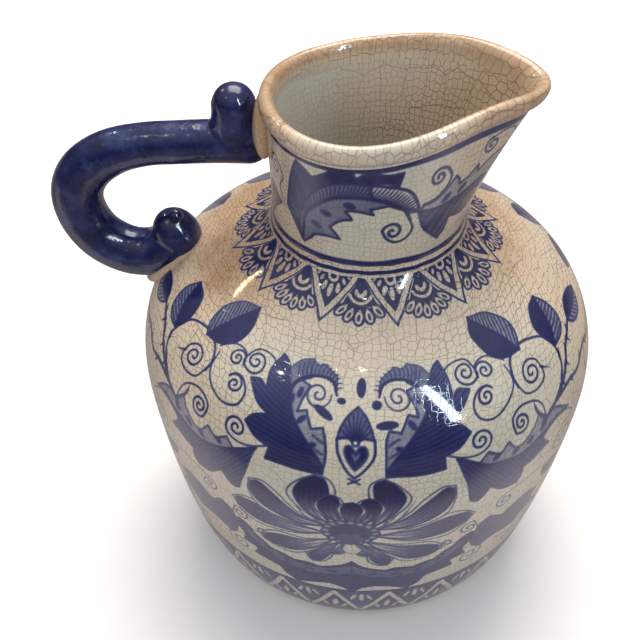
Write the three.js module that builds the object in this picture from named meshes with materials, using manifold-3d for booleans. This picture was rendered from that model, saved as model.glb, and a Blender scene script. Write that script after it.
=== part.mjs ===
// Ceramic pitcher: a full round body on a low foot, a short neck drawn out into a pouring
// spout, a rolled lip, and a scrolled handle luted on opposite the spout.
// Millimetres, +Z up. The origin is on the vessel's axis, in the plane the foot stands on;
// the spout points along +X and the handle stands on the -X side.
// Every piece was shaped on its own and stuck to its neighbour with slip before firing.

import * as THREE from 'three';
import { mergeVertices } from 'three/addons/utils/BufferGeometryUtils.js';
import Module from 'manifold-3d';

// ---- Driving dimensions ----
const BELLY_RADIUS = 100;          // widest point of the body
const BELLY_HEIGHT = 112;
const NECK_RADIUS = 38.7;          // outside of the neck where it meets the shoulder
const NECK_HEIGHT = 185;
const SHOULDER_SWELL = 62;         // how high the body stays full above its widest point
const SHOULDER_DIP = 22.2;         // depth of the hollow curve below the neck
const SHOULDER_DIP_FLARE = 1.6;    // how far that curve leans out at its lower end
const SEAM_SHARE = 0.52;           // luted joint of jar and cap, as a share of the shoulder curve
const WALL = 6;                    // thickness of the thrown wall
const FLOOR = 7;
const FOOT_HEIGHT = 1.6;           // depth of the shallow recess inside the foot
const HEEL_RADIUS = 85;            // where the wall starts to round in under the body
const HEEL_HEIGHT = 7.8;
const HEEL_TUCK = 3;               // how tightly the heel rounds in to the underside
const BOWL_FLARE = 9.6;            // slope of the wall where it leaves the heel
const BOWL_RISE = 17.7;
const BELLY_SWELL = 18.3;          // how low the body stays full below its widest point
const BASE_RADIUS = 77.5;          // flat underside, inside the rounded heel
const INSIDE_FLOOR_RADIUS = 62;    // flat floor inside, and the rounded corner beside it
const INSIDE_CORNER_RADIUS = 81;
const INSIDE_CORNER_RISE = 8;
const FOOT_OUTER_RADIUS = 76;
const FOOT_INNER_RADIUS = 65;
const FOOT_CHAMFER = 0.8;
const PANEL_RADIUS = 63;           // disc inside the foot, left proud when the recess was trimmed
const PANEL_DROP = 0.4;

const LIP_HEIGHT = 7.5;            // height of the rolled lip
const LIP_HALF_WIDTH = 2.9;
const LIP_CROWN = 2.9;             // depth of the lip's rounded top
const LIP_UNDERCUT = 2.2;          // rounding below the lip's outer face
const NECK_WALL_AT_LIP = 3.3;
const MOUTH_RADIUS = 41.8;         // round part of the mouth, to the middle of the lip
const MOUTH_BACK_FLATTENING = 3.2; // how far the handle side is pushed in
const MOUTH_CREST = 239;           // mean height of the lip's top
const CREST_TILT = 5.4;            // how much higher the lip stands at the spout than behind
const CREST_SADDLE = 2.6;          // how far it dips at the sides
const CREST_SPOUT_DROP = 5.5;      // how far the spout itself turns down again
const SPOUT_REACH = 19;            // how far the spout stands out past the round mouth
const SPOUT_HALF_ANGLE = 0.61;     // radians, how wide the spout opens
const SPOUT_FLARE = 1.2;           // how late on its way up the neck the spout opens
const SPOUT_CROWDING = 0.4;        // how much closer together the facets stand at the spout
const NECK_SWELL = 0.6;            // how far the neck's face stands out under the lip

const HANDLE_RISE = 26;            // centre of the handle's upper run above the neck's foot
const HANDLE_REACH = 122;          // centre of the handle at its furthest from the axis
const HANDLE_THIN_RADIUS = 8.5;    // upper run
const HANDLE_THICK_RADIUS = 10.6;  // bend and lower run
const HANDLE_START = 43;           // where the upper run meets its luting pad
const SWELLING_START = 0.28;       // the stretch of the bow in which it thickens, as shares
const SWELLING_END = 0.58;
const SCROLL_RADIUS = 8.4;         // rounded lobe on top of the upper end
const SCROLL_REACH = 51.8;
const SCROLL_RISE = 50.5;
const SCROLL_LEAN = 0.8;           // its tip leans towards the lip
const SCROLL_ROUNDING = 0.37;      // rounded share at its tip
const KNOB_RADIUS = 10.2;          // curled end that sits on the shoulder
const KNOB_REACH = 81;
const KNOB_DROP = 19;              // centre of the knob below the neck's foot
const BOW_END_REACH = 93.5;        // where the bow ends and the knob's stub carries on
const BOW_END_DROP = 31;
const STUB_END_REACH = 83;         // where the stub disappears in the knob
const STUB_END_DROP = 27;
const STUB_STEP = 0.4;             // the stub is a little thinner than the bow

const UPPER_PAD_START = 38;        // inside face of the upper pad, before the neck is cut out
const UPPER_PAD_RISE = 34.6;
const UPPER_PAD_HALF_WIDTH = 8.6;
const UPPER_PAD_HALF_HEIGHT = 14.4;
const LOWER_PAD_REACH = 84.5;
const LOWER_PAD_DROP = 33;
const LOWER_PAD_RADII = [19, 12.6, 5.6];
const LOWER_PAD_SLOPE = -0.72;     // radians, so the pad lies along the shoulder

const GAP = 0.3;                   // slip line between pieces cut to fit each other
const ROUND_STEPS = 54;            // facets round the vessel

const wasm = await Module();
wasm.setup();

const GLAZE = new THREE.MeshStandardMaterial({ color: 0xcfc5b4, roughness: 0.15, metalness: 0 });
const COBALT = new THREE.MeshStandardMaterial({ color: 0x1c2760, roughness: 0.15, metalness: 0 });
const BISCUIT = new THREE.MeshStandardMaterial({ color: 0xd9c3a0, roughness: 0.75, metalness: 0 });

// ---- Helpers ----

// A profile of Vector2(radius, height), turned about the vertical axis.
function turned(profile, steps = ROUND_STEPS) {
  return new THREE.LatheGeometry(profile, steps).rotateX(Math.PI / 2);
}

// The same profile with every point moved square to it, to the left of its direction.
function offsetProfile(profile, distance) {
  return profile.map((point, i) => {
    const before = profile[Math.max(i - 1, 0)];
    const after = profile[Math.min(i + 1, profile.length - 1)];
    const along = after.clone().sub(before).normalize();
    return new THREE.Vector2(point.x - along.y * distance, point.y + along.x * distance);
  });
}

function curveRange(curve, from, to, steps) {
  return Array.from({ length: steps + 1 }, (_, i) => curve.getPoint(from + ((to - from) * i) / steps));
}

function toSolid(geometry) {
  const bare = geometry.clone();
  bare.deleteAttribute('normal');
  bare.deleteAttribute('uv');
  const merged = mergeVertices(bare, 1e-4);
  const mesh = new wasm.Mesh({
    numProp: 3,
    vertProperties: new Float32Array(merged.attributes.position.array),
    triVerts: new Uint32Array(merged.index.array),
  });
  return new wasm.Manifold(mesh);
}

function toGeometry(solid) {
  const mesh = solid.getMesh();
  const geometry = new THREE.BufferGeometry();
  geometry.setAttribute('position', new THREE.BufferAttribute(mesh.vertProperties, 3));
  geometry.setIndex(new THREE.BufferAttribute(mesh.triVerts, 1));
  geometry.computeVertexNormals();
  return geometry;
}

function piece(name, geometry, material) {
  const mesh = new THREE.Mesh(geometry, material.clone());
  mesh.name = name;
  return mesh;
}

// ---- Body ----

const shoulderCurve = new THREE.CubicBezierCurve(
  new THREE.Vector2(BELLY_RADIUS, BELLY_HEIGHT),
  new THREE.Vector2(BELLY_RADIUS, BELLY_HEIGHT + SHOULDER_SWELL),
  new THREE.Vector2(NECK_RADIUS + SHOULDER_DIP_FLARE, NECK_HEIGHT - SHOULDER_DIP),
  new THREE.Vector2(NECK_RADIUS, NECK_HEIGHT),
);
const bowlCurve = new THREE.CubicBezierCurve(
  new THREE.Vector2(HEEL_RADIUS, HEEL_HEIGHT),
  new THREE.Vector2(HEEL_RADIUS + BOWL_FLARE, HEEL_HEIGHT + BOWL_RISE),
  new THREE.Vector2(BELLY_RADIUS, BELLY_HEIGHT - BELLY_SWELL),
  new THREE.Vector2(BELLY_RADIUS, BELLY_HEIGHT),
);
const BODY_STEPS = 7;
const bodyOutside = [
  ...bowlCurve.getPoints(BODY_STEPS),
  ...curveRange(shoulderCurve, 0, SEAM_SHARE, BODY_STEPS).slice(1),
  ...curveRange(shoulderCurve, SEAM_SHARE, 1, BODY_STEPS).slice(1),
];
const seam = 2 * BODY_STEPS;
const heel = new THREE.QuadraticBezierCurve(
  new THREE.Vector2(BASE_RADIUS, FOOT_HEIGHT),
  new THREE.Vector2(HEEL_RADIUS - HEEL_TUCK, FOOT_HEIGHT),
  new THREE.Vector2(HEEL_RADIUS, HEEL_HEIGHT),
).getPoints(4);
const bodyInside = offsetProfile(bodyOutside, WALL);
bodyInside[bodyInside.length - 1].y = NECK_HEIGHT;

function jarGeometry() {
  const floorTop = FOOT_HEIGHT + FLOOR;
  const wallInside = bodyInside.slice(0, seam + 1).filter((point) => point.y > floorTop + INSIDE_CORNER_RISE);
  const corner = new THREE.QuadraticBezierCurve(
    new THREE.Vector2(INSIDE_FLOOR_RADIUS, floorTop),
    new THREE.Vector2(INSIDE_CORNER_RADIUS, floorTop),
    wallInside[0],
  ).getPoints(4);
  return turned([
    new THREE.Vector2(0, FOOT_HEIGHT - PANEL_DROP),
    new THREE.Vector2(PANEL_RADIUS, FOOT_HEIGHT - PANEL_DROP),
    new THREE.Vector2(PANEL_RADIUS, FOOT_HEIGHT),
    ...heel,
    ...bodyOutside.slice(1, seam + 1),
    ...wallInside.slice(1).reverse(),
    ...corner.reverse(),
    new THREE.Vector2(0, floorTop),
  ]);
}

function shoulderCapGeometry() {
  const outside = bodyOutside.slice(seam);
  const inside = bodyInside.slice(seam).reverse();
  return turned([...outside, ...inside, outside[0]]);
}

function footRingGeometry() {
  return turned([
    new THREE.Vector2(FOOT_INNER_RADIUS + FOOT_CHAMFER, 0),
    new THREE.Vector2(FOOT_OUTER_RADIUS - FOOT_CHAMFER, 0),
    new THREE.Vector2(FOOT_OUTER_RADIUS, FOOT_CHAMFER),
    new THREE.Vector2(FOOT_OUTER_RADIUS, FOOT_HEIGHT),
    new THREE.Vector2(FOOT_INNER_RADIUS, FOOT_HEIGHT),
    new THREE.Vector2(FOOT_INNER_RADIUS, FOOT_CHAMFER),
    new THREE.Vector2(FOOT_INNER_RADIUS + FOOT_CHAMFER, 0),
  ]);
}

// Everything inside the body's outer face, used to cut what is luted onto it.
function bodyCutter() {
  const grown = offsetProfile(bodyOutside, -GAP);
  return toSolid(turned([new THREE.Vector2(0, 0), ...grown, new THREE.Vector2(0, NECK_HEIGHT)]));
}

// ---- Neck and lip ----
// Both start as round collars and are then drawn out into the spout by one shared shape.

function spoutShare(azimuth) {
  return 1 / (1 + (azimuth / SPOUT_HALF_ANGLE) ** 2) ** 2;
}

// Plan radius of the finished lip, to the middle of its roll.
function mouthRadius(azimuth) {
  const flattenedBack = MOUTH_BACK_FLATTENING * ((1 - Math.cos(azimuth)) / 2) ** 3;
  return MOUTH_RADIUS + SPOUT_REACH * spoutShare(azimuth) - flattenedBack;
}

// Height of the lip's top: it dips at the sides and rises a little to the spout and handle.
function crestHeight(azimuth) {
  const swell = CREST_TILT * Math.cos(azimuth) + CREST_SADDLE * Math.cos(2 * azimuth);
  return MOUTH_CREST + swell - CREST_SPOUT_DROP * spoutShare(azimuth);
}

// A point of the neck's outline, level 0 at the shoulder and 1 at the lip's top.
function planPoint(azimuth, level) {
  const growth = Math.max(level, 0) ** SPOUT_FLARE;
  const radius = NECK_RADIUS + (mouthRadius(azimuth) - NECK_RADIUS) * growth;
  return new THREE.Vector2(radius * Math.cos(azimuth), radius * Math.sin(azimuth));
}

function neckPoint(azimuth, level, offset) {
  const step = 1e-3;
  const along = planPoint(azimuth + step, level).sub(planPoint(azimuth - step, level)).normalize();
  const point = planPoint(azimuth, level);
  const height = NECK_HEIGHT + (crestHeight(azimuth) - NECK_HEIGHT) * level;
  return new THREE.Vector3(point.x + along.y * offset, point.y - along.x * offset, height);
}

// Turns a section of (offset, drop below the crest or level) into a collar that follows the
// mouth. Facets crowd towards the spout, where the outline bends most.
const COLLAR_RADIUS = 100;
function drawnCollar(section, levelOf) {
  const profile = section.map(([offset, height]) => new THREE.Vector2(COLLAR_RADIUS + offset, height));
  const geometry = turned(profile);
  const position = geometry.attributes.position;
  for (let i = 0; i < position.count; i += 1) {
    const turn = Math.atan2(position.getY(i), position.getX(i));
    const azimuth = turn - SPOUT_CROWDING * Math.sin(turn);
    const offset = Math.hypot(position.getX(i), position.getY(i)) - COLLAR_RADIUS;
    const point = neckPoint(azimuth, levelOf(azimuth, position.getZ(i)), offset);
    position.setXYZ(i, point.x, point.y, point.z);
  }
  geometry.computeVertexNormals();
  return geometry;
}

const levelBelowCrest = (azimuth, drop) => 1 + drop / (crestHeight(azimuth) - NECK_HEIGHT);

// Share 0 is the neck's foot and share 1 its top edge, just under the lip.
function levelOnNeck(azimuth, share) {
  return share * levelBelowCrest(azimuth, -LIP_HEIGHT - GAP);
}

function neckGeometry(growth = 0) {
  const shares = [0, 0.1, 0.25, 0.42, 0.6, 0.8, 1];
  const outside = shares.map((share) => [NECK_SWELL * share + growth, share]);
  const inside = shares.map((share) => [-WALL + (WALL - NECK_WALL_AT_LIP) * share, share]);
  return drawnCollar([...outside, ...inside.reverse(), outside[0]], levelOnNeck);
}

// Points on a quarter or half of an ellipse, from one angle to another.
function arc(centre, radii, from, to, steps) {
  return new THREE.EllipseCurve(...centre, ...radii, from, to).getPoints(steps)
    .map((point) => [point.x, point.y]);
}

function lipGeometry() {
  const undercut = [LIP_HALF_WIDTH - LIP_UNDERCUT, LIP_UNDERCUT - LIP_HEIGHT];
  const section = [
    [-NECK_WALL_AT_LIP, -LIP_HEIGHT],
    ...arc(undercut, [LIP_UNDERCUT, LIP_UNDERCUT], -Math.PI / 2, 0, 2),
    ...arc([0, -LIP_CROWN], [LIP_HALF_WIDTH, LIP_CROWN], 0, Math.PI, 6),
  ];
  return drawnCollar([...section, section[0]], levelBelowCrest);
}

// A square-edged collar a little larger than the lip, used to cut what is luted beside it.
function lipCutter() {
  const side = LIP_HALF_WIDTH + GAP;
  const bottom = -LIP_HEIGHT - 3 * GAP;
  const section = [[-side, bottom], [side, bottom], [side, GAP], [-side, GAP]];
  return toSolid(drawnCollar([...section, section[0]], levelBelowCrest));
}

// ---- Handle ----
// Drawn in the plane of the spout: a point is (distance from the axis, rise above the neck's foot).

function handlePath(points) {
  return new THREE.CatmullRomCurve3(
    points.map(([reach, rise]) => new THREE.Vector3(-reach, 0, NECK_HEIGHT + rise)),
    false,
    'centripetal',
  );
}

// A straight roll of clay, turned about its own length and then bent along a path.
function bentRoll(path, radiusAt, steps, growth = 0) {
  const profile = [new THREE.Vector2(0, 0)];
  for (let i = 0; i <= steps; i += 1) {
    profile.push(new THREE.Vector2(radiusAt(i / steps) + growth, i / steps));
  }
  profile.push(new THREE.Vector2(0, 1));
  const geometry = turned(profile, 16);
  const position = geometry.attributes.position;
  const sideways = new THREE.Vector3(0, 1, 0);
  for (let i = 0; i < position.count; i += 1) {
    const share = THREE.MathUtils.clamp(position.getZ(i), 0, 1);
    const across = sideways.clone().cross(path.getTangentAt(share));
    const point = path.getPointAt(share)
      .addScaledVector(across, position.getX(i))
      .addScaledVector(sideways, position.getY(i));
    position.setXYZ(i, point.x, point.y, point.z);
  }
  return toSolid(geometry);
}

function ball(centre, radii) {
  const geometry = new THREE.SphereGeometry(1, 20, 12)
    .rotateX(Math.PI / 2)
    .scale(radii.x, radii.y, radii.z)
    .translate(centre.x, centre.y, centre.z);
  return toSolid(geometry);
}

const bowPath = handlePath([
  [HANDLE_START, HANDLE_RISE],
  [62, HANDLE_RISE - 0.5],
  [76, 24.3],
  [88, 23],
  [101, 19.5],
  [112, 13],
  [119, 5],
  [HANDLE_REACH, -4],
  [121, -14],
  [116.5, -23],
  [109, -29],
  [101, -31.5],
  [BOW_END_REACH, -BOW_END_DROP],
]);

function bowRadius(share) {
  const swelling = THREE.MathUtils.smoothstep(share, SWELLING_START, SWELLING_END);
  return HANDLE_THIN_RADIUS + (HANDLE_THICK_RADIUS - HANDLE_THIN_RADIUS) * swelling;
}

// The upper scroll stands on the end of the upper run and reaches the lip's height.
const scrollPath = handlePath([
  [SCROLL_REACH, HANDLE_RISE],
  [SCROLL_REACH, (HANDLE_RISE + SCROLL_RISE) / 2],
  [SCROLL_REACH - SCROLL_LEAN, SCROLL_RISE],
]);

function scrollRadius(share) {
  const intoTip = Math.max((share - 1) / SCROLL_ROUNDING + 1, 0);
  return SCROLL_RADIUS * Math.sqrt(1 - 0.97 * intoTip ** 2);
}

// The knob at the lower end: a short stub carrying on from the bow, then the curled-up ball.
const stubPath = handlePath([[BOW_END_REACH - GAP, -BOW_END_DROP], [STUB_END_REACH, -STUB_END_DROP]]);
const knobCentre = new THREE.Vector3(-KNOB_REACH, 0, NECK_HEIGHT - KNOB_DROP);

function knobSolid(growth = 0) {
  const stub = bentRoll(stubPath, () => HANDLE_THICK_RADIUS - STUB_STEP, 3, growth);
  const radius = KNOB_RADIUS + growth;
  return stub.add(ball(knobCentre, new THREE.Vector3(radius, radius, radius)));
}

// A pad of slip between the handle's upper end and the neck, wider where it meets the neck.
function upperPadSolid() {
  const profile = [[0, 0], [1.12, 0], [1.06, 0.3], [1, 0.6], [0.98, 1], [0, 1]]
    .map(([radius, share]) => new THREE.Vector2(radius, share));
  const geometry = turned(profile, 28)
    .rotateY(-Math.PI / 2)
    .scale(HANDLE_START - UPPER_PAD_START, UPPER_PAD_HALF_WIDTH, UPPER_PAD_HALF_HEIGHT)
    .translate(-UPPER_PAD_START, 0, NECK_HEIGHT + UPPER_PAD_RISE);
  return toSolid(geometry);
}

// A low cushion of slip that beds the knob and the end of the bow on the shoulder.
function lowerPadSolid() {
  const geometry = new THREE.SphereGeometry(1, 28, 12)
    .rotateX(Math.PI / 2)
    .scale(...LOWER_PAD_RADII)
    .rotateY(LOWER_PAD_SLOPE)
    .translate(-LOWER_PAD_REACH, 0, NECK_HEIGHT - LOWER_PAD_DROP);
  return toSolid(geometry);
}

const bodyRoom = bodyCutter();
const bow = bentRoll(bowPath, bowRadius, 34).subtract(bodyRoom);
const bowRoom = bentRoll(bowPath, bowRadius, 34, GAP);
const scroll = bentRoll(scrollPath, scrollRadius, 12).subtract(bowRoom);
const scrollRoom = bentRoll(scrollPath, scrollRadius, 12, GAP);
const knob = knobSolid().subtract(bodyRoom).subtract(bowRoom);
const upperPad = upperPadSolid()
  .subtract(toSolid(neckGeometry(GAP)))
  .subtract(lipCutter())
  .subtract(bowRoom)
  .subtract(scrollRoom);
const lowerPad = lowerPadSolid()
  .subtract(bodyRoom)
  .subtract(bowRoom)
  .subtract(knobSolid(GAP));

// ---- Assembly ----

const vessel = new THREE.Group();
vessel.add(
  piece('foot_ring', footRingGeometry(), BISCUIT),
  piece('body_jar', jarGeometry(), GLAZE),
  piece('shoulder_cap', shoulderCapGeometry(), GLAZE),
  piece('neck_collar', neckGeometry(), GLAZE),
  piece('lip_roll', lipGeometry(), GLAZE),
);

const handle = new THREE.Group();
handle.add(
  piece('handle_bow', toGeometry(bow), COBALT),
  piece('handle_top_scroll', toGeometry(scroll), COBALT),
  piece('handle_foot_knob', toGeometry(knob), COBALT),
  piece('upper_luting_pad', toGeometry(upperPad), GLAZE),
  piece('lower_luting_pad', toGeometry(lowerPad), GLAZE),
);

const group = new THREE.Group();
group.add(vessel, handle);

export default group;
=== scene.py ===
"""Looks of a ceramic pitcher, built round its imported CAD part.

The vessel is drawn from the same driving curves as the CAD part. Its cobalt pattern is brushed
onto flat sheets, one unrolled half of the body and the unrolled neck, and then carried over to
the surfaces. Sizes are millimetres until a mesh is made.
"""

import math

import bpy
import numpy as np
from mathutils import Matrix, Vector


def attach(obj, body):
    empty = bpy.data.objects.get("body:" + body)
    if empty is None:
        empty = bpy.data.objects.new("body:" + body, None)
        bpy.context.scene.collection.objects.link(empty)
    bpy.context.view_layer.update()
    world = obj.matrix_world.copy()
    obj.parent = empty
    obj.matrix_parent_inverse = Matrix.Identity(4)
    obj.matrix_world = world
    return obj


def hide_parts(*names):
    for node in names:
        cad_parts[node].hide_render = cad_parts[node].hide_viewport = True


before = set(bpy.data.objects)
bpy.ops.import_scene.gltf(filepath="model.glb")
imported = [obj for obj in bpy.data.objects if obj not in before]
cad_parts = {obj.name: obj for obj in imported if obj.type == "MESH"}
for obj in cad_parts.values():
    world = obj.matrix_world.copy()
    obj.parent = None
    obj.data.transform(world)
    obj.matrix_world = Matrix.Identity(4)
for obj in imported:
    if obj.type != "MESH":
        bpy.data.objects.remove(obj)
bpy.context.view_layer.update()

MM = 0.001
FULL_TURN = 2 * math.pi

# ---- Driving dimensions, in millimetres ----
BELLY_RADIUS = 100
BELLY_HEIGHT = 112
NECK_RADIUS = 38.7
NECK_HEIGHT = 185
WALL = 6
FLOOR_TOP = 8.6
HEEL_RADIUS = 85
HEEL_HEIGHT = 7.8
BASE_RADIUS = 77.5
FOOT_HEIGHT = 1.6
FOOT_OUTER_RADIUS = 76
FOOT_INNER_RADIUS = 65
MOUTH_RADIUS = 41.8
MOUTH_CREST = 239
SPOUT_REACH = 19
SPOUT_HALF_ANGLE = 0.61
SPOUT_FLARE = 1.2
MOUTH_BACK_FLATTENING = 3.2
CREST_TILT = 5.4
CREST_SADDLE = 2.6
CREST_SPOUT_DROP = 5.5
NECK_LEAN = 0.6
LIP_DEPTH = 8.6
LIP_WALL = 3.3

CHART = 100  # chart units are hundredths of a radian, so they are millimetres at the belly


# ---- Curves ----


def bezier(points, steps=160):
    """A Bezier curve of any degree through its control points' ends, by de Casteljau's rule."""
    share = np.linspace(0, 1, steps)[:, None, None]
    level = np.broadcast_to(np.array(points, float), (steps, len(points), 2))
    while level.shape[1] > 1:
        level = level[:, :-1] * (1 - share) + level[:, 1:] * share
    return level[:, 0]


def soft_run(points, steps):
    """A Catmull-Rom curve through the points, with straight-on ends."""
    p = np.array(points, float)
    if len(p) == 2:
        return p
    p = np.vstack([2 * p[0] - p[1], p, 2 * p[-1] - p[-2]])
    t = np.linspace(0, 1, steps, endpoint=False)[:, None]
    pieces = []
    for a, b, c, d in zip(p, p[1:], p[2:], p[3:]):
        bend = 2 * b + (c - a) * t + (2 * a - 5 * b + 4 * c - d) * t**2 + (3 * b - a - 3 * c + d) * t**3
        pieces.append(bend / 2)
    return np.vstack([*pieces, p[-2]])


def eased(value, start, end):
    """0 up to start, 1 from end on, and a soft rise between them."""
    share = np.clip((value - start) / (end - start), 0, 1)
    return share * share * (3 - 2 * share)


def smooth(points, closed=False, steps=6):
    """A soft line through the points. It turns a corner where a point has a third value."""
    points = list(points)
    if closed:
        sharp = [i for i, point in enumerate(points) if len(point) > 2]
        start = sharp[0] if sharp else 0
        points = points[start:] + points[: start + 1]
    runs = [[points[0][:2]]]
    for point in points[1:]:
        runs[-1].append(point[:2])
        if len(point) > 2:
            runs.append([point[:2]])
    return np.vstack([soft_run(run, steps) for run in runs if len(run) > 1])


def mirrored(half):
    """A symmetric outline from its right half, whose first and last points lie on the axis."""
    return [*half, *((-point[0], *point[1:]) for point in half[-2:0:-1])]


# ---- The vessel's curves ----

bowl = bezier([
    (HEEL_RADIUS, HEEL_HEIGHT),
    (HEEL_RADIUS + 9.6, HEEL_HEIGHT + 17.7),
    (BELLY_RADIUS, BELLY_HEIGHT - 18.3),
    (BELLY_RADIUS, BELLY_HEIGHT),
])
shoulder = bezier([
    (BELLY_RADIUS, BELLY_HEIGHT),
    (BELLY_RADIUS, BELLY_HEIGHT + 62),
    (NECK_RADIUS + 1.6, NECK_HEIGHT - 22.2),
    (NECK_RADIUS, NECK_HEIGHT),
])
heel = bezier([(BASE_RADIUS, FOOT_HEIGHT), (HEEL_RADIUS - 3, FOOT_HEIGHT), (HEEL_RADIUS, HEEL_HEIGHT)], 40)
body_outside = np.vstack([heel, bowl[1:], shoulder[1:]])


def chart_heights(profile):
    """How far up the unrolled, angle-keeping chart each profile point lies, 0 at the belly."""
    steps = np.hypot(*np.diff(profile, axis=0).T)
    radius = (profile[1:, 0] + profile[:-1, 0]) / 2
    up = np.concatenate([[0], np.cumsum(steps / radius)]) * CHART
    return up - up[np.argmax(profile[:, 0])]


body_up = chart_heights(body_outside)


def spout_share(azimuth):
    return 1 / (1 + (azimuth / SPOUT_HALF_ANGLE) ** 2) ** 2


def mouth_radius(azimuth):
    flattened_back = MOUTH_BACK_FLATTENING * ((1 - np.cos(azimuth)) / 2) ** 3
    return MOUTH_RADIUS + SPOUT_REACH * spout_share(azimuth) - flattened_back


def crest_height(azimuth):
    swell = CREST_TILT * np.cos(azimuth) + CREST_SADDLE * np.cos(2 * azimuth)
    return MOUTH_CREST + swell - CREST_SPOUT_DROP * spout_share(azimuth)


def neck_plan(azimuth, level):
    azimuth = (azimuth + math.pi) % FULL_TURN - math.pi
    growth = np.maximum(level, 0) ** SPOUT_FLARE
    radius = NECK_RADIUS + (mouth_radius(azimuth) - NECK_RADIUS) * growth
    return radius * np.cos(azimuth), radius * np.sin(azimuth)


def neck_points(azimuth, level, offset):
    """Points of the drawn-out neck. Level is 0 at the shoulder and 1 at the lip's crest."""
    step = 1e-3
    x0, y0 = neck_plan(azimuth - step, level)
    x1, y1 = neck_plan(azimuth + step, level)
    length = np.hypot(x1 - x0, y1 - y0)
    x, y = neck_plan(azimuth, level)
    height = NECK_HEIGHT + (crest_height(azimuth) - NECK_HEIGHT) * level
    return np.stack([x + (y1 - y0) / length * offset, y - (x1 - x0) / length * offset, height], -1)


# ---- Meshes ----


def grid_normals(points, closed):
    """Smooth normals of a grid of points, rows first, facing away from down cross along."""
    if closed:
        along = np.roll(points, -1, 1) - np.roll(points, 1, 1)
    else:
        along = np.gradient(points, axis=1)
    normals = np.cross(along, np.gradient(points, axis=0))
    length = np.linalg.norm(normals, axis=-1, keepdims=True)
    return normals / np.maximum(length, 1e-9)


def grid_piece(name, points, closed=False, normals=None, **marks):
    """A smooth mesh over a grid of points (rows, columns, 3), with one attribute for each mark.

    A mark is a grid of single values or, with a last axis of 3, of vectors.
    """
    rows, columns = points.shape[:2]
    if normals is None:
        normals = grid_normals(points, closed)
    index = np.arange(rows * columns).reshape(rows, columns)
    right = np.roll(index, -1, 1) if closed else index[:, 1:]
    left = index if closed else index[:, :-1]
    quads = np.stack([left[:-1], right[:-1], right[1:], left[1:]], -1).reshape(-1, 4)
    mesh = bpy.data.meshes.new(name)
    mesh.vertices.add(rows * columns)
    mesh.vertices.foreach_set("co", (points.reshape(-1) * MM).astype(np.float32))
    mesh.loops.add(quads.size)
    mesh.loops.foreach_set("vertex_index", quads.reshape(-1).astype(np.int32))
    mesh.polygons.add(len(quads))
    mesh.polygons.foreach_set("loop_start", np.arange(0, quads.size, 4, dtype=np.int32))
    mesh.update(calc_edges=True)
    mesh.validate()
    mesh.shade_smooth()
    mesh.normals_split_custom_set_from_vertices(normals.reshape(-1, 3).tolist())
    for mark, values in marks.items():
        vector = values.ndim == 3
        attribute = mesh.attributes.new(mark, "FLOAT_VECTOR" if vector else "FLOAT", "POINT")
        attribute.data.foreach_set("vector" if vector else "value", values.reshape(-1).astype(np.float32))
    piece = bpy.data.objects.new(name, mesh)
    bpy.context.scene.collection.objects.link(piece)
    return piece


def turned_grid(profile, azimuths):
    radius, height = np.array(profile).T
    return np.stack([
        radius[:, None] * np.cos(azimuths),
        radius[:, None] * np.sin(azimuths),
        np.broadcast_to(height[:, None], (len(radius), len(azimuths))),
    ], -1)


def round_azimuths(count):
    return np.arange(count) / count * FULL_TURN


# ---- Brushwork ----

EDGE_SOFTNESS = 0.8


class Sheet:
    """Cobalt on a flat sheet. A place is (across, up), and every mark covers those before it."""

    def __init__(self, across, up, wobble=0.35):
        self.across = across
        self.up = up
        self.cobalt = np.zeros((len(up), len(across)))
        x, y = np.meshgrid(across, up)
        self.x = x + wobble * (np.sin(y / 3.1 + 1.3) + 0.6 * np.sin(x / 2.3 + y / 4.7)) / 1.6
        self.y = y + wobble * (np.sin(x / 3.7 + 0.4) + 0.6 * np.sin(y / 2.9 - x / 5.3)) / 1.6

    def window(self, points, margin):
        low = points.min(0) - margin
        high = points.max(0) + margin
        columns = slice(*np.searchsorted(self.across, [low[0], high[0]]))
        rows = slice(*np.searchsorted(self.up, [low[1], high[1]]))
        return rows, columns

    def lay(self, place, gap, tone):
        """Covers the window with tone wherever gap, the distance outside the mark, is negative."""
        cover = np.clip(0.5 - gap / EDGE_SOFTNESS, 0, 1)
        self.cobalt[place] += (tone - self.cobalt[place]) * cover


def line_gap(x, y, points, half_widths):
    """Distance outside a line of varying width."""
    gap = np.full(x.shape, 1e9)
    for (ax, ay), (bx, by), wa, wb in zip(points, points[1:], half_widths, half_widths[1:]):
        dx, dy = bx - ax, by - ay
        share = np.clip(((x - ax) * dx + (y - ay) * dy) / max(dx * dx + dy * dy, 1e-9), 0, 1)
        reach = np.hypot(x - ax - share * dx, y - ay - share * dy) - (wa + (wb - wa) * share)
        gap = np.minimum(gap, reach)
    return gap


def outline_gap(x, y, points):
    """Distance outside a closed outline, negative inside it."""
    gap = np.full(x.shape, 1e9)
    inside = np.zeros(x.shape, bool)
    for (ax, ay), (bx, by) in zip(points, np.roll(points, -1, 0)):
        dx, dy = bx - ax, by - ay
        share = np.clip(((x - ax) * dx + (y - ay) * dy) / max(dx * dx + dy * dy, 1e-9), 0, 1)
        gap = np.minimum(gap, np.hypot(x - ax - share * dx, y - ay - share * dy))
        if ay != by:
            inside ^= ((ay > y) != (by > y)) & (x < ax + (y - ay) * dx / dy)
    return np.where(inside, -gap, gap)


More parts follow.
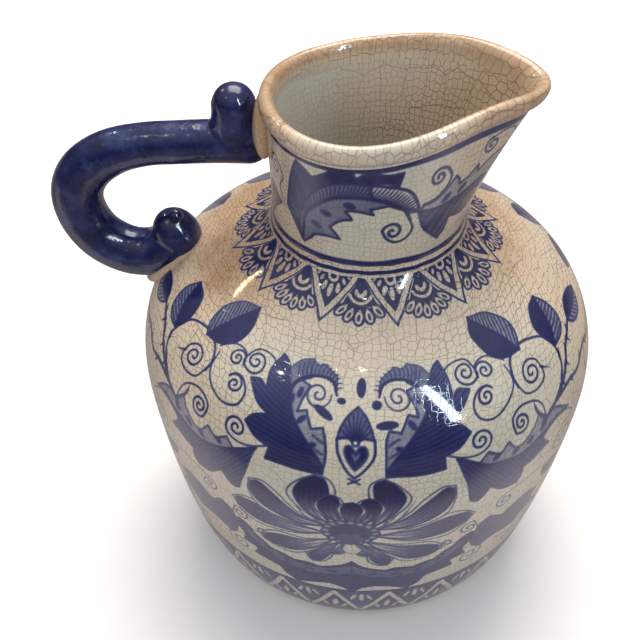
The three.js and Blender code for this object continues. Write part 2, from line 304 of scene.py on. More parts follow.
class Brush:
    """Draws on a sheet from its own origin, turned and mirrored as asked."""

    def __init__(self, sheet, origin=(0, 0), turn=0.0, flip=1):
        self.sheet = sheet
        self.origin = np.array(origin, float)
        c, s = math.cos(turn), math.sin(turn)
        self.matrix = np.array([[c * flip, s * flip], [-s, c]])

    def at(self, origin, turn=0.0, flip=1):
        """A brush with its origin at a place of this one."""
        other = Brush(self.sheet, self.place([origin])[0], turn, flip)
        other.matrix = other.matrix @ self.matrix
        return other

    def place(self, points):
        return np.array(points, float) @ self.matrix + self.origin

    def own(self, x, y):
        inverse = np.linalg.inv(self.matrix)
        dx, dy = x - self.origin[0], y - self.origin[1]
        return dx * inverse[0, 0] + dy * inverse[1, 0], dx * inverse[0, 1] + dy * inverse[1, 1]

    def line(self, points, width, tone, ends=(1, 1)):
        """A stroke, with its width at either end as a share of the full width."""
        points = self.place(smooth(points))
        share = np.linspace(0, 1, len(points))
        swell = np.minimum(ends[0] + share * 4 * (1 - ends[0]), ends[1] + (1 - share) * 4 * (1 - ends[1]))
        half = width / 2 * np.minimum(swell, 1)
        window = self.sheet.window(points, width + 1)
        x, y = self.sheet.x[window], self.sheet.y[window]
        if x.size:
            self.sheet.lay(window, line_gap(x, y, points, half), tone)

    def fill(self, points, tone, edge=0.0, edge_tone=0.9, soft=True):
        """A closed outline filled with a tone, or with tone(across, up), and then edged."""
        outline = self.place(smooth(points, closed=True) if soft else points)
        window = self.sheet.window(outline, edge + 1)
        x, y = self.sheet.x[window], self.sheet.y[window]
        if not x.size:
            return
        gap = outline_gap(x, y, outline)
        self.sheet.lay(window, gap, tone(*self.own(x, y)) if callable(tone) else tone)
        if edge:
            self.sheet.lay(window, np.abs(gap) - edge / 2, edge_tone)

    def oval(self, centre, radii, tone, tilt=0.0):
        angles = np.linspace(0, FULL_TURN, 20, endpoint=False)
        c, s = math.cos(tilt), math.sin(tilt)
        u, v = radii[0] * np.cos(angles), radii[1] * np.sin(angles)
        outline = np.stack([centre[0] + u * c - v * s, centre[1] + u * s + v * c], -1)
        self.fill(outline, tone, soft=False)

    def arc(self, centre, radius, start, stop, width, tone):
        angles = np.radians(np.linspace(start, stop, 16))
        x, y = centre[0] + radius * np.cos(angles), centre[1] + radius * np.sin(angles)
        self.line(list(zip(x, y)), width, tone)

    def spiral(self, centre, radius, start, turns, width=1.1, tone=0.8, tail=()):
        """Winds in from the tail, through the start angle in degrees; negative turns go clockwise."""
        points = list(tail)
        count = int(abs(turns) * 12)
        for i in range(count + 1):
            share = i / count
            angle = math.radians(start + 360 * turns * share)
            reach = radius * (1 - 0.88 * share)
            points.append((centre[0] + reach * math.cos(angle), centre[1] + reach * math.sin(angle)))
        self.line(points, width, tone, ends=(0.7, 0.9))


class Axis:
    """The line that a leaf or a petal lies along, from its foot to its tip."""

    def __init__(self, foot, tip):
        self.foot = np.array(foot, float)
        run = np.array(tip, float) - self.foot
        self.length = np.hypot(*run)
        self.along = run / self.length
        self.across = np.array([-self.along[1], self.along[0]])

    def at(self, share, out):
        """The place at a share of the way to the tip, and so far out from the line."""
        return tuple(self.foot + self.along * self.length * share + self.across * out)

    def own(self, u, v):
        """How far places lie along the line, and how far out from it."""
        du, dv = u - self.foot[0], v - self.foot[1]
        return du * self.along[0] + dv * self.along[1], du * self.across[0] + dv * self.across[1]


# ---- The body's pattern ----
# One half of the body, unrolled: across runs from one side of the pitcher to the other.

HALF_TURN = math.pi * CHART
SHEET_STEP = 0.5
half_steps = round(HALF_TURN / SHEET_STEP)
half_across = np.arange(half_steps + 1) * HALF_TURN / half_steps - HALF_TURN / 2
half_up = np.arange(body_up[0], body_up[-1], SHEET_STEP)
body_sheet = Sheet(half_across, half_up)
body_brush = Brush(body_sheet)

LAPPETS = 6  # on each half
LAPPET_PITCH = HALF_TURN / LAPPETS
LAPPET_TIP_UP = 94
DARK = 0.88
PALE = 0.04


def lappet_fields(tip):
    """The dark ground under a lappet's pale border, and its small pale petals."""
    brush = body_brush.at((tip, LAPPET_TIP_UP))
    brush.fill([(0, 0, 1), (26.5, 44, 1), (-26.5, 44, 1)], DARK)
    brush.fill([(0, 3.2, 1), (25.5, 44.5, 1), (-25.5, 44.5, 1)], PALE)
    brush.fill([(0, 11.5, 1), (20, 44, 1), (-20, 44, 1)], DARK)
    brush.oval((0, 26.5), (2.3, 6), tone=0.08)
    for side in (-1, 1):
        brush.oval((side * 6.2, 29.5), (2.1, 4.6), tilt=side * 0.12, tone=0.1)
        brush.oval((side * 10.3, 36), (1.7, 3.2), tilt=side * 0.42, tone=0.16)
        brush.oval((side * 14.5, 39.5), (1.3, 2.4), tilt=side * 0.6, tone=0.25)
    brush.oval((0, 39.5), (5.4, 6), tone=0.12)
    brush.oval((0, 39.8), (2.7, 3.2), tone=DARK)


def fan(middle, petals):
    """The scalloped fan between two lappets: two crescents over a row of teardrop petals."""
    brush = body_brush.at((middle, 122))
    spread = 17.5 if petals > 5 else 20.5
    leans = [spread * (i - (petals - 1) / 2) for i in range(petals)]
    for lean in leans:
        petal = brush.at((0, 0), turn=-math.radians(lean))
        petal.oval((0, -20.2), (4.6, 6.8), tone=DARK)
    brush.fill([(0, 16), (-14, -12), (-10, -18), (10, -18), (14, -12)], DARK)
    for lean in leans:
        petal = brush.at((0, 0), turn=-math.radians(lean))
        petal.fill(mirrored([(0, -14, 1), (2.6, -19), (1.9, -24), (0, -25.4)]), 0.1)
        petal.oval((0, -20.8), (1.0, 2.6), tone=DARK)
    brush.arc((0, 0), 9.2, 200, 340, 2.5, PALE)
    brush.arc((0, 0.4), 3.6, 175, 365, 3.4, PALE)
    brush.oval((0, 3.5), (3.4, 3.4), tone=DARK)


def lappet_band():
    tips = [LAPPET_PITCH * (i - LAPPETS / 2) + 26 for i in range(-1, LAPPETS + 2)]
    for i, tip in enumerate(tips):
        fan(tip - LAPPET_PITCH / 2, 6 if i % 2 else 5)
    for tip in tips:
        lappet_fields(tip)
    rings = ((136.3, 3.0, PALE), (139.9, 3.6, DARK), (144.2, 4.4, PALE), (149.0, 5.0, DARK))
    for up, width, tone in rings:
        body_brush.line([(-HALF_TURN, up), (HALF_TURN, up)], width, tone)


ZIGZAGS = 12  # on each half
ZIGZAG_PITCH = HALF_TURN / ZIGZAGS
ZIGZAG_TOP = -70


def zigzag_band():
    """Pointed arches round the foot, with small leaves in and between them."""
    ground = [(-HALF_TURN, ZIGZAG_TOP - 18), (HALF_TURN, ZIGZAG_TOP - 18)]
    body_brush.line(ground, 36, 0.62)
    body_brush.line([(x, ZIGZAG_TOP) for x, _ in ground], 1.3, 0.8)
    for i in range(-1, ZIGZAGS + 2):
        brush = body_brush.at((ZIGZAG_PITCH * (i - ZIGZAGS / 2) - 6, ZIGZAG_TOP))
        for offset, width, tone in ((0, 4.6, 0.8), (0, 3.0, 0.12)):
            brush.line([(-ZIGZAG_PITCH / 2, -33, 1), (0, -3.5, 1), (ZIGZAG_PITCH / 2, -33, 1)], width, tone)
        brush.oval((0, -20), (1.5, 5.5), tone=0.14)
        for side in (-1, 1):
            brush.oval((side * 4.6, -24), (1.2, 4), tilt=-side * 0.25, tone=0.2)
            brush.oval((ZIGZAG_PITCH / 2 + side * 4, -9), (1.1, 4.2), tilt=side * 0.3, tone=0.2)
        brush.oval((ZIGZAG_PITCH / 2, -9), (1.3, 5), tone=0.14)
    body_brush.line([(x, ZIGZAG_TOP - 34) for x, _ in ground], 1.6, 0.8)
    body_brush.line([(x, ZIGZAG_TOP - 39) for x, _ in ground], 1.0, 0.8)


lappet_band()
zigzag_band()


def crest_leaf(brush):
    """The tall scrolled leaf beside the finial: light inside, dark and hatched outside."""
    rib = [(12.5, 24.5), (16, 29.5), (20.5, 35), (26, 41.5), (29.5, 47.5), (30.8, 53), (28.5, 58.5), (23, 62)]
    outer = [
        (35, 22, 1), (34.5, 27.5, 1), (41, 30), (46.5, 35, 1), (43, 39), (37.5, 41, 1), (44, 44.5),
        (51, 52.5, 1), (46, 54), (42, 51, 1), (43, 60), (40.5, 69.5, 1), (37, 67), (34.5, 63.5, 1),
    ]
    inner = [
        (22, 58, 1), (24.5, 51), (25.5, 46, 1), (21.5, 47.5, 1), (19.5, 43), (18, 40, 1), (13.5, 41, 1),
        (12, 36), (11.5, 28), (12, 21.5, 1),
    ]
    brush.fill([(12, 21.5, 1), *outer, (30, 61, 1), *inner], 0.36, edge=0.9, edge_tone=0.8)

    def hatched(u, v):
        strokes = np.sin(4.0 * (v - 0.012 * (v - 20) * (u - 12)))
        paler = 0.16 * np.clip((v - 40) / 30, 0, 1) + 0.1 * np.clip((u - 32) / 15, 0, 1)
        return 0.87 + 0.09 * strokes - paler

    brush.fill([(12, 21.5, 1), *outer, (30, 61, 1), *rib[:-1][::-1]], hatched)
    crest = [
        (34.5, 63.5, 1), (30, 69), (24, 71.5, 1), (21.5, 69), (17, 70, 1), (14, 67), (10.5, 64, 1),
        (9.5, 58, 1), (13, 62.5), (20, 63.5), (26, 61.5), (31, 56, 1),
    ]
    brush.fill(crest, 0.42, edge=0.8, edge_tone=0.6)
    for step in range(13):
        turn = math.radians(35 + 11 * step)
        foot = (19.5 + 9.5 * math.cos(turn), 55.5 + 7.6 * math.sin(turn))
        middle = (19.8 + 11.5 * math.cos(turn), 56.5 + 10.5 * math.sin(turn))
        tip = (20.5 + 13.5 * math.cos(turn + 0.15), 58 + 12.5 * math.sin(turn + 0.15))
        brush.line([foot, middle, tip], 0.6, 0.75, ends=(1, 0.3))
    brush.line(rib, 1.5, DARK)
    brush.line([(28.5, 58.5), (24, 62.3), (17, 63.3), (11.5, 61), (9.4, 55.5)], 1.3, DARK, ends=(1, 0.8))
    brush.spiral((18, 55.0), 6.4, 175, 1.7, 1.1, 0.66)
    for u, v, tilt in ((24.5, 54, 0.3), (21.5, 43, 0.7), (16.5, 33, 1.1), (28, 50, 0.2)):
        brush.oval((u + 1.5, v), (1.2, 2.6), tilt=tilt, tone=0.8)
    for v in (25, 30, 35):
        brush.line([(13, v), (17, v + 2.5)], 0.7, 0.7)


def side_leaf(brush):
    """The leaf that swings out sideways below the spirals."""
    lower = [
        (39.5, 25, 1), (43, 14), (46.5, 0, 1), (50, -1.5), (55, 4, 1), (62, -2), (69, -3.5, 1), (71, 0),
        (71, 5, 1), (78, 6), (86, 7.5, 1), (83, 11), (81, 14, 1), (92, 18), (101, 16, 1),
    ]
    upper = [
        (92, 23), (84, 23, 1), (80, 27, 1), (77, 23, 1), (70, 19), (66, 19, 1), (63, 23.5, 1), (60, 21),
        (58, 20, 1), (53, 23.5, 1), (49, 20, 1), (44, 23),
    ]
    brush.fill([*lower, *upper], 0.36, edge=0.9, edge_tone=0.7)

    def hatched(u, v):
        return 0.76 + 0.1 * np.sin(2.8 * u + 2.2 * v) - 0.12 * np.clip((u - 60) / 30, 0, 1)

    brush.fill([*lower, (88, 17), (78, 15), (66, 14), (54, 17), (47, 21)], hatched)
    brush.line([(39.5, 25), (47, 21), (54, 17), (66, 14), (78, 15.5), (92, 18.5)], 1.2, DARK)
    for u, v in ((57, 19.5), (66, 17.3), (74, 18), (82, 19.5)):
        brush.oval((u, v), (2.2, 1.1), tilt=0.5, tone=0.75)


def two_tone_leaf(brush, base, tip, belly, dark_side):
    """A pointed leaf on the chart: one half solid, the other pale with close veins."""
    axis = Axis(base, tip)
    bulges = ((0.14, 0.6), (0.4, 1), (0.75, 0.78))
    sags = ((0, 0), (0.35, 0.10), (0.7, 0.06), (1, 0))

    def flank(side):
        return [axis.at(share, side * width * belly) for share, width in bulges]

    rib = [axis.at(share, -dark_side * sag * belly) for share, sag in sags]
    foot, point = (*rib[0], 1), (*rib[-1], 1)
    outline = [foot, *flank(1), point, *flank(-1)[::-1]]
    half = [foot, *flank(dark_side), point, *rib[2:0:-1]]

    def veined(u, v):
        run, out = axis.own(u, v)
        return 0.52 + 0.2 * np.sin((run - 0.9 * np.abs(out)) * 2.2)

    brush.fill(outline, veined, edge=1.0, edge_tone=0.78)
    brush.fill(half, 0.9)
    brush.line(rib, 0.9, 0.9)


def scrolls(brush):
    """The spirals, loops and the thorny vine between the leaves."""
    brush.spiral((52, 60), 6.3, -20, -1.8, tail=[(41.5, 61), (43.5, 65), (49, 67), (55, 65.5)])
    brush.spiral((62, 57.2), 5.0, 200, -1.7, tail=[(74, 57), (70, 61.5), (64, 63.3), (58.5, 61)])
    sweep = [(72.5, 55), (72.5, 47), (68, 41), (59, 36.5), (52, 39), (50.5, 45), (54, 50), (59, 50.5)]
    brush.spiral((57.3, 46.3), 4.6, 30, 1.6, tail=sweep)
    brush.spiral((84, 44.8), 6.2, 20, 1.8, tail=[(74, 44), (77, 38.5), (84, 37), (90, 40)])
    loop = [(74, 43.5), (73.5, 49), (77, 55.5), (84, 58.5), (93, 58), (101, 53), (104.5, 43), (101, 33)]
    brush.line([*loop, (93, 27)], 1.3, 0.78)
    brush.line([(90, 44), (96, 40.5)], 1.2, 0.8, ends=(1, 0.2))
    brush.spiral((50, 30), 5.2, 290, 1.7, tail=[(36, 27.3), (42, 25), (48, 24.2)])
    brush.spiral((70, 29), 4.6, 220, 1.7, tail=[(84, 21), (83, 29), (79.5, 33.5), (72, 35.5), (66, 32)])
    brush.line([(84, 22), (79.5, 28), (78.5, 33)], 1.4, 0.8, ends=(1, 0.2))
    brush.spiral((99, 1), 8.0, 100, 1.9, tone=0.5, tail=[(80, 12), (88, 17.5), (97, 16.5), (105, 10)])
    brush.spiral((65, -13), 5.0, 90, 1.7, tone=0.5, tail=[(88, -9), (80, -6.5), (70, -6.5)])
    brush.spiral((49, -22), 4.4, 60, 1.6, tone=0.55, tail=[(40, -31), (46, -31), (53.5, -27)])
    brush.spiral((39, -29), 3.2, 200, 1.4, tone=0.6)
    brush.spiral((54.5, -52), 6.5, 40, -1.6, tone=0.5, tail=[(47, -43), (53, -42), (60, -46)])
    vine = [(82, 21), (92, 25.5), (103, 27), (113, 26), (124, 29), (136, 27), (148, 30), (157, 29)]
    brush.line(vine, 1.9, 0.72)
    brush.line([(92, 26), (103, 32), (112, 40), (121, 44), (130, 47)], 1.7, 0.75)
    thorns = (
        (96, 26.5, 1), (106, 27, -1), (118, 28, 1), (129, 28, -1), (95, 27.5, 1), (99, 30, -1),
        (103, 32, 1), (106, 35, -1), (110, 38.5, 1), (115, 42, -1), (119, 43.5, 1), (103, 50, -1),
        (104, 40, 1), (99, 31.5, 1),
    )
    for u, v, lean in thorns:
        brush.line([(u, v), (u + 2.0, v + 3.4 * lean)], 1.9, 0.82, ends=(1, 0.1))
    two_tone_leaf(brush, (124, 45), (150, 44), 6, 1)
    two_tone_leaf(brush, (85, 56.5), (69.5, 87), 12.3, 1)
    two_tone_leaf(brush, (105.5, 45), (118, 69), 10, 1)
    two_tone_leaf(brush, (88, -11), (104, -22), 5, -1)
    brush.spiral((140, 12), 9, 160, 1.9, tone=0.7, tail=[(126, 29), (124, 20), (128, 11)])
    brush.spiral((128, -18), 7, 40, -1.8, tone=0.7, tail=[(112, -4), (120, -6)])


def lower_leaves(brush):
    """Broad dark leaves low on the sides, and the calyx band under the flower."""

    def dusky(u, v):
        return 0.62 + 0.08 * np.sin(1.3 * u - 1.7 * v)

    brush.fill([
        (52, -34, 1), (54, -24), (59, -20.5, 1), (66, -26), (70, -24, 1), (80, -22), (90, -28, 1), (88, -34),
        (94, -40, 1), (84, -43), (80, -48, 1), (68, -44), (58, -47, 1), (54, -41),
    ], dusky, edge=0.9, edge_tone=0.72)
    near_rib = [(52, -34), (60, -32), (70, -34.5), (82, -34), (94, -40)]
    brush.fill([
        (108, -30, 1), (118, -24), (130, -28, 1), (141, -22), (154, -30, 1), (146, -40), (150, -48, 1),
        (132, -46), (120, -52, 1), (112, -42),
    ], dusky, edge=0.9, edge_tone=0.8)
    brush.fill([
        (108, -30, 1), (118, -24), (130, -28, 1), (141, -22), (154, -30, 1), (142, -31), (130, -34.5),
        (118, -33),
    ], 0.38, edge=0.8, edge_tone=0.72)
    for u, v in ((116, -28.5), (125, -30.5), (134, -29.5), (143, -26.8)):
        brush.oval((u, v), (2.2, 1.1), tilt=0.1, tone=0.75)
    far_rib = [(108, -30), (118, -33), (130, -34.5), (142, -31), (154, -30)]
    for rib in (near_rib, far_rib):
        brush.line(rib, 1.2, DARK)
        for u, v in smooth(rib)[2::3]:
            brush.line([(u, v), (u + 1.6, v - 3.4), (u + 2.4, v - 6.2)], 0.6, 0.9, ends=(1, 0.3))
    brush.spiral((100, -54), 7, 150, 1.8, tone=0.6, tail=[(92, -40), (88, -48)])
    brush.spiral((80, -58), 5, 20, -1.6, tone=0.55, tail=[(68, -48), (72, -51)])


def calyx(brush):
    """The leaf that cups the flower from below, its arms curling up at the sides."""
    for side in (-1, 1):
        half = brush.at((0, 0), flip=side)
        half.fill([
            (0, -37, 1), (5, -42), (14, -46, 1), (19, -44), (26, -45, 1), (31, -43), (36, -42, 1),
            (40, -37), (44, -34, 1), (47, -29), (51, -27, 1), (52, -34), (49, -41), (51, -47, 1), (44, -49),
            (46, -55, 1), (38, -57), (33, -59, 1), (31, -64), (26, -69, 1), (18, -65), (10, -63, 1),
            (4, -66), (0, -71, 1),
        ], 0.78, edge=0.9, edge_tone=DARK)
        half.fill([
            (0, -41, 1), (6, -44.5), (14, -47), (24, -47), (34, -44), (43, -37), (48, -30.5, 1), (47, -38),
            (39, -46.5), (28, -52.5), (14, -53.5), (0, -49, 1),
        ], 0.5)
        for u, v in ((9, -49), (19, -50.5), (29, -48.5), (38, -43.5)):
            half.oval((u, v), (2.4, 1.2), tilt=0.1 + 0.02 * (u - 9), tone=0.78)
        for u in (6, 14, 22, 30, 38):
            half.line([(u, -54 + 0.006 * u * u), (u * 0.93, -62 + 0.004 * u * u)], 0.6, 0.95, ends=(1, 0.2))


FLOWER = (-1.0, -12)


def lotus(brush):
    """The big open flower: long petals with pale streaks, round a beaded eye."""
    heart = brush.at(FLOWER)

    def petal(tip, belly, foot, tone, bend=0.0):
        """One petal, from near the flower's heart to its tip."""
        axis = Axis(foot, tip)
        bulges = ((0.35, 0.55), (0.7, 1), (0.92, 0.68))

        def at(share, out):
            return axis.at(share, out + bend * math.sin(math.pi * share))

        def flank(side):
            return [at(share, side * width * belly) for share, width in bulges]

        def shaded(u, v):
            run, out = axis.own(u, v)
            run = run / axis.length
            out = out - bend * np.sin(math.pi * np.clip(run, 0, 1))
            streaks = 0.2 * np.sin(out * 2.9 + 1.2 * run)
            return tone * (0.26 + 0.84 * np.clip(run * 1.2 - 0.1, 0, 1)) + streaks * (1 - run)

        for spread, inside, edge in ((1.45, 0.10, 0.62), (1.0, shaded, tone)):
            point = (*at(1 + 0.09 * (spread - 1), 0), 1)
            outline = [(*at(0, 0), 1), *flank(spread), point, *flank(-spread)[::-1]]
            heart.fill(outline, inside, edge=0.8, edge_tone=edge)

    for side in (-1, 1):
        lowered = 3.5 if side < 0 else 0
        petal((side * 15.5, -28), 3.8, (side * 3, -8), 0.74, bend=side * 1.6)
        petal((side * 37.5, -21), 5.6, (side * 6, -6), 0.74, bend=-side * 2.6)
        petal((side * 49, 1.5), 6.0, (side * 9, -2), 0.8, bend=-side * 2.4)
        petal((side * (39 + lowered / 3), 23 - lowered), 5.6, (side * 9, 3), 0.95, bend=-side * 4.6)
        for spread in (0, 2.2, 4.4):
            sweep = [(9 + spread / 2, 4), (18 - spread / 2, 9 + spread), (24 - spread, 21 + spread)]
            heart.line([(side * u, v) for u, v in sweep], 0.8, 0.6, ends=(1, 0.2))
        petal((side * 12 - lowered / 2, 32), 5.6 + lowered / 3, (side * 8, 5), 1.05, bend=-side * 4.5)
        petal((side * 7.0 - lowered / 3, 23), 4.0, (side * 3.5, 6), 1.1, bend=-side * 2.0)
    petal((0.5, 20.5), 3.8, (0, 5), 1.1)
    for side in (-1, 1):
        petal((side * 7.0, -19), 2.4, (side * 3, -8), 0.6)
    petal((1, -17), 2.8, (0, -6), 0.16)
    heart.oval((0, 0), (11.6, 9.2), tone=0.78)
    for i in range(16):
        angle = FULL_TURN * i / 16
        bead = (9.8 * math.cos(angle), 7.6 * math.sin(angle))
        heart.oval(bead, (2.1, 1.9), tone=0.8)
        heart.oval(bead, (1.4, 1.2), tone=0.36)
    heart.oval((0, 0.6), (8.2, 6.0), tone=0.86)
    heart.fill([(-5.5, -4), (-2.5, -0.5), (0, -1.5), (2.5, -0.5), (5.5, -4), (3, -8), (-3, -8)], 0.6)


def finial(brush):
    """The pointed fan over a heart, and the loose dots above it."""
    eye = 36.5
    fan_outline = mirrored([(0, 51.5, 1), (4, 47), (6.6, 41), (7.4, 37, 1), (3, 38.3), (0, 35.8, 1)])
    brush.fill(fan_outline, 0.5, edge=0.9, edge_tone=0.85)
    for step in range(-4, 5):
        u, v = math.sin(math.radians(13 * step)), math.cos(math.radians(13 * step))
        ray = [(2 * u, eye + 2 * v), (8.2 * u, eye + (13 - abs(step)) * v)]
        brush.line(ray, 0.8, 0.95, ends=(1, 0.4))
    shield = mirrored([(0, 35.8, 1), (3, 38.3), (7.6, 37.5, 1), (7, 31), (3.6, 25), (0, 21.5, 1)])
    brush.fill(shield, PALE, edge=1.1, edge_tone=0.8)
    brush.oval((0, eye), (1.7, 1.7), tone=0.75)
    brush.oval((0, eye), (0.8, 0.8), tone=PALE)
    heart = mirrored([(0, 24.8, 1), (3.2, 28.4), (4.6, 32), (3.8, 34.8), (1.8, 35), (0, 32.6, 1)])
    brush.fill(heart, DARK, edge=0.8, edge_tone=0.6)
    brush.fill(mirrored([(0, 28.4, 1), (1.5, 31), (1.4, 32.4), (0, 31.2, 1)]), 0.45)
    for side in (-1, 1):
        brush.line([(side * 2.2, 21.2), (-side * 2.2, 18.6)], 0.9, 0.8)
    dots = (
        ((1.6, 60.2), (2.2, 4.8), 0), ((8.2, 52.2), (2.1, 2.0), 0), ((-7.2, 53.2), (1.9, 1.5), 0),
        ((12.6, 43.4), (4.6, 1.9), 0), ((-14.5, 47.4), (5.2, 1.8), -0.6),
    )
    for centre, radii, tilt in dots:
        brush.oval(centre, radii, tilt=tilt, tone=DARK)


MEDALLION_ACROSS = 2.0
medallion = body_brush.at((MEDALLION_ACROSS, 0))
for hand in (-1, 1):
    flank = medallion.at((0, 0), flip=hand)
    lower_leaves(flank)
    side_leaf(flank)
    scrolls(flank)
    crest_leaf(flank)
calyx(medallion)
lotus(medallion)
finial(medallion)

# ---- Neck pattern ----
# The unrolled neck: across is azimuth times NECK_CHART, up is the level times NECK_TALL.

NECK_CHART = 45
NECK_TALL = 54
NECK_STEP = 0.4
neck_columns = round(FULL_TURN * NECK_CHART / NECK_STEP)
neck_azimuths = round_azimuths(neck_columns) - math.pi
neck_sheet = Sheet(neck_azimuths * NECK_CHART, np.arange(-1, NECK_TALL, NECK_STEP), wobble=0.25)
LIP_LINE = 0.825 * NECK_TALL


def neck_leaves(brush):
    """Two scrolled leaves on one flank of the neck, and the tendrils between them."""

    def on_neck(*places):
        """Places given as (degrees back from the spout, percent of the way up, sharp)."""
        return [(-math.radians(p[0]) * NECK_CHART, p[1] / 100 * NECK_TALL, *p[2:]) for p in places]

    rib = on_neck(
        (126, 10), (124, 30), (118, 44), (108, 56), (98, 59.5), (88, 59), (78, 54), (70, 46), (66, 36),
    )
    outer = on_neck(
        (125, 8, 1), (131, 20), (137, 33, 1), (135, 47), (133, 60), (127, 78, 1), (122, 75), (117, 70, 1),
        (110, 76), (102, 84.5, 1), (97, 82), (94, 75, 1), (90, 79), (86, 79.5, 1), (79, 77), (72, 76.5, 1),
        (73, 70), (74, 65, 1), (68, 60), (64, 51), (61.5, 42, 1),
    )
    inner = on_neck(
        (70, 46), (78, 52, 1), (83, 51), (87, 50, 1), (85, 45.5, 1), (92, 47.5), (99, 47), (97, 43),
        (96, 40, 1), (101, 38.5), (105, 35), (108, 31, 1), (105, 26), (103, 21, 1), (110, 22), (117, 20),
        (121, 14),
    )
    brush.fill([*outer, *inner], 0.42, edge=1.0, edge_tone=0.9)
    brush.fill([*outer[17:], *on_neck((70, 47), (78, 55), (86, 60), (86, 70))], 0.16, edge=0.9, edge_tone=0.9)

    def faded(u, v):
        return 0.9 - 0.2 * np.clip(-(u + 84) / 10, 0, 1) + 0.05 * np.sin(0.9 * u + 0.5 * v)

    shade = on_neck((79, 71), (86, 70), (97, 71), (108, 67.5), (118, 56), (125, 38), (128, 22))
    brush.fill([*outer[:18], *shade], faded, edge=0.8, edge_tone=0.8)
    brush.line(rib, 1.3, 0.95)
    ribs = smooth(rib[1:])
    headings = np.arctan2(*np.gradient(ribs, axis=0).T[::-1])
    for i in range(1, round(0.9 * len(ribs)), max(1, len(ribs) // 30)):
        reach = 3.6 + 3.4 * math.sin(math.pi * i / len(ribs))
        lean = headings[i] + 0.8
        middle = ribs[i] + 0.5 * reach * np.array([math.cos(lean), math.sin(lean)])
        tip = ribs[i] + reach * np.array([math.cos(lean + 0.15), math.sin(lean + 0.15)])
        brush.line([tuple(ribs[i]), tuple(middle), tuple(tip)], 0.55, 0.88, ends=(1, 0.3))
    for degrees, rise in ((97.5, 52), (110, 42.5), (116, 29.5)):
        brush.oval(on_neck((degrees, rise))[0], (2.5, 1.4), tilt=-0.3, tone=0.88)
    tendril = on_neck((66, 36), (64.5, 28), (68, 21), (73, 19), (78, 23), (80, 29))
    brush.spiral(on_neck((75, 28.5))[0], 4.2, 165, -1.3, 1.3, 0.85, tail=tendril)

    upper = on_neck(
        (62, 41, 1), (59, 45), (54, 46), (48, 50), (43, 58.5, 1), (40, 54), (39, 50, 1), (33, 53),
        (28.5, 58.5, 1), (27, 53, 1), (20, 59), (11, 63, 1), (12, 52), (18, 45, 1),
    )
    lower = on_neck(
        (22, 44), (30, 41), (42, 39), (52, 39), (62, 41, 1), (58, 26), (52, 17), (47, 11, 1), (43, 16),
        (41, 25, 1), (33, 22.5), (25, 23.5), (18, 29, 1), (20, 35), (15, 42, 1),
    )
    brush.fill(upper + lower[:4], 0.3, edge=0.9, edge_tone=0.75)

    def veined(u, v):
        return 0.7 + 0.12 * np.sin(1.2 * u - 1.1 * v)

    brush.fill([*lower[4:], *lower[:4]], veined, edge=0.9, edge_tone=0.88)
    for degrees, rise in ((46, 44), (36, 45.5)):
        brush.oval(on_neck((degrees, rise))[0], (2.4, 1.2), tilt=0.5, tone=0.75)
    tendril = on_neck((60, 46), (53, 48), (48, 53), (46, 60), (47.5, 66))
    brush.spiral(on_neck((53, 64.5))[0], 3.9, 40, 1.5, 1.3, 0.8, tail=tendril)
    tendril = on_neck((9, 72), (14, 77.5), (20, 78), (25, 75.5))
    brush.spiral(on_neck((23.5, 70.5))[0], 3.6, 110, 1.6, 1.1, 0.62, tail=tendril)
    tendril = on_neck((140, 30), (144, 44), (140, 55))
    brush.spiral(on_neck((148, 60))[0], 4.6, 60, 1.6, 1.1, 0.55, tail=tendril)
    back_leaf = on_neck((144, 30, 1), (152, 20), (160, 8, 1), (166, 24), (156, 40, 1), (150, 36))
    brush.fill(back_leaf, 0.6, edge=0.9)


neck_brush = Brush(neck_sheet)
for hand in (-1, 1):
    neck_leaves(neck_brush.at((0, 0), flip=hand))
for up, width, tone in ((LIP_LINE, 2.9, 0.8), (0.2, 2.6, DARK)):
    neck_brush.line([(neck_sheet.across[0], up), (neck_sheet.across[-1], up)], width, tone)


def sampled(sheet, across, up):
    """The sheet's cobalt at any places, blended between its points."""

    def steps_along(place, marks):
        return np.clip((place - marks[0]) / (marks[1] - marks[0]), 0, len(marks) - 1.001)

    column, row = steps_along(across, sheet.across), steps_along(up, sheet.up)
    c, r = column.astype(int), row.astype(int)
    fc, fr = column - c, row - r
    top = sheet.cobalt[r + 1, c] * (1 - fc) + sheet.cobalt[r + 1, c + 1] * fc
    return (sheet.cobalt[r, c] * (1 - fc) + sheet.cobalt[r, c + 1] * fc) * (1 - fr) + top * fr


# ---- Materials ----


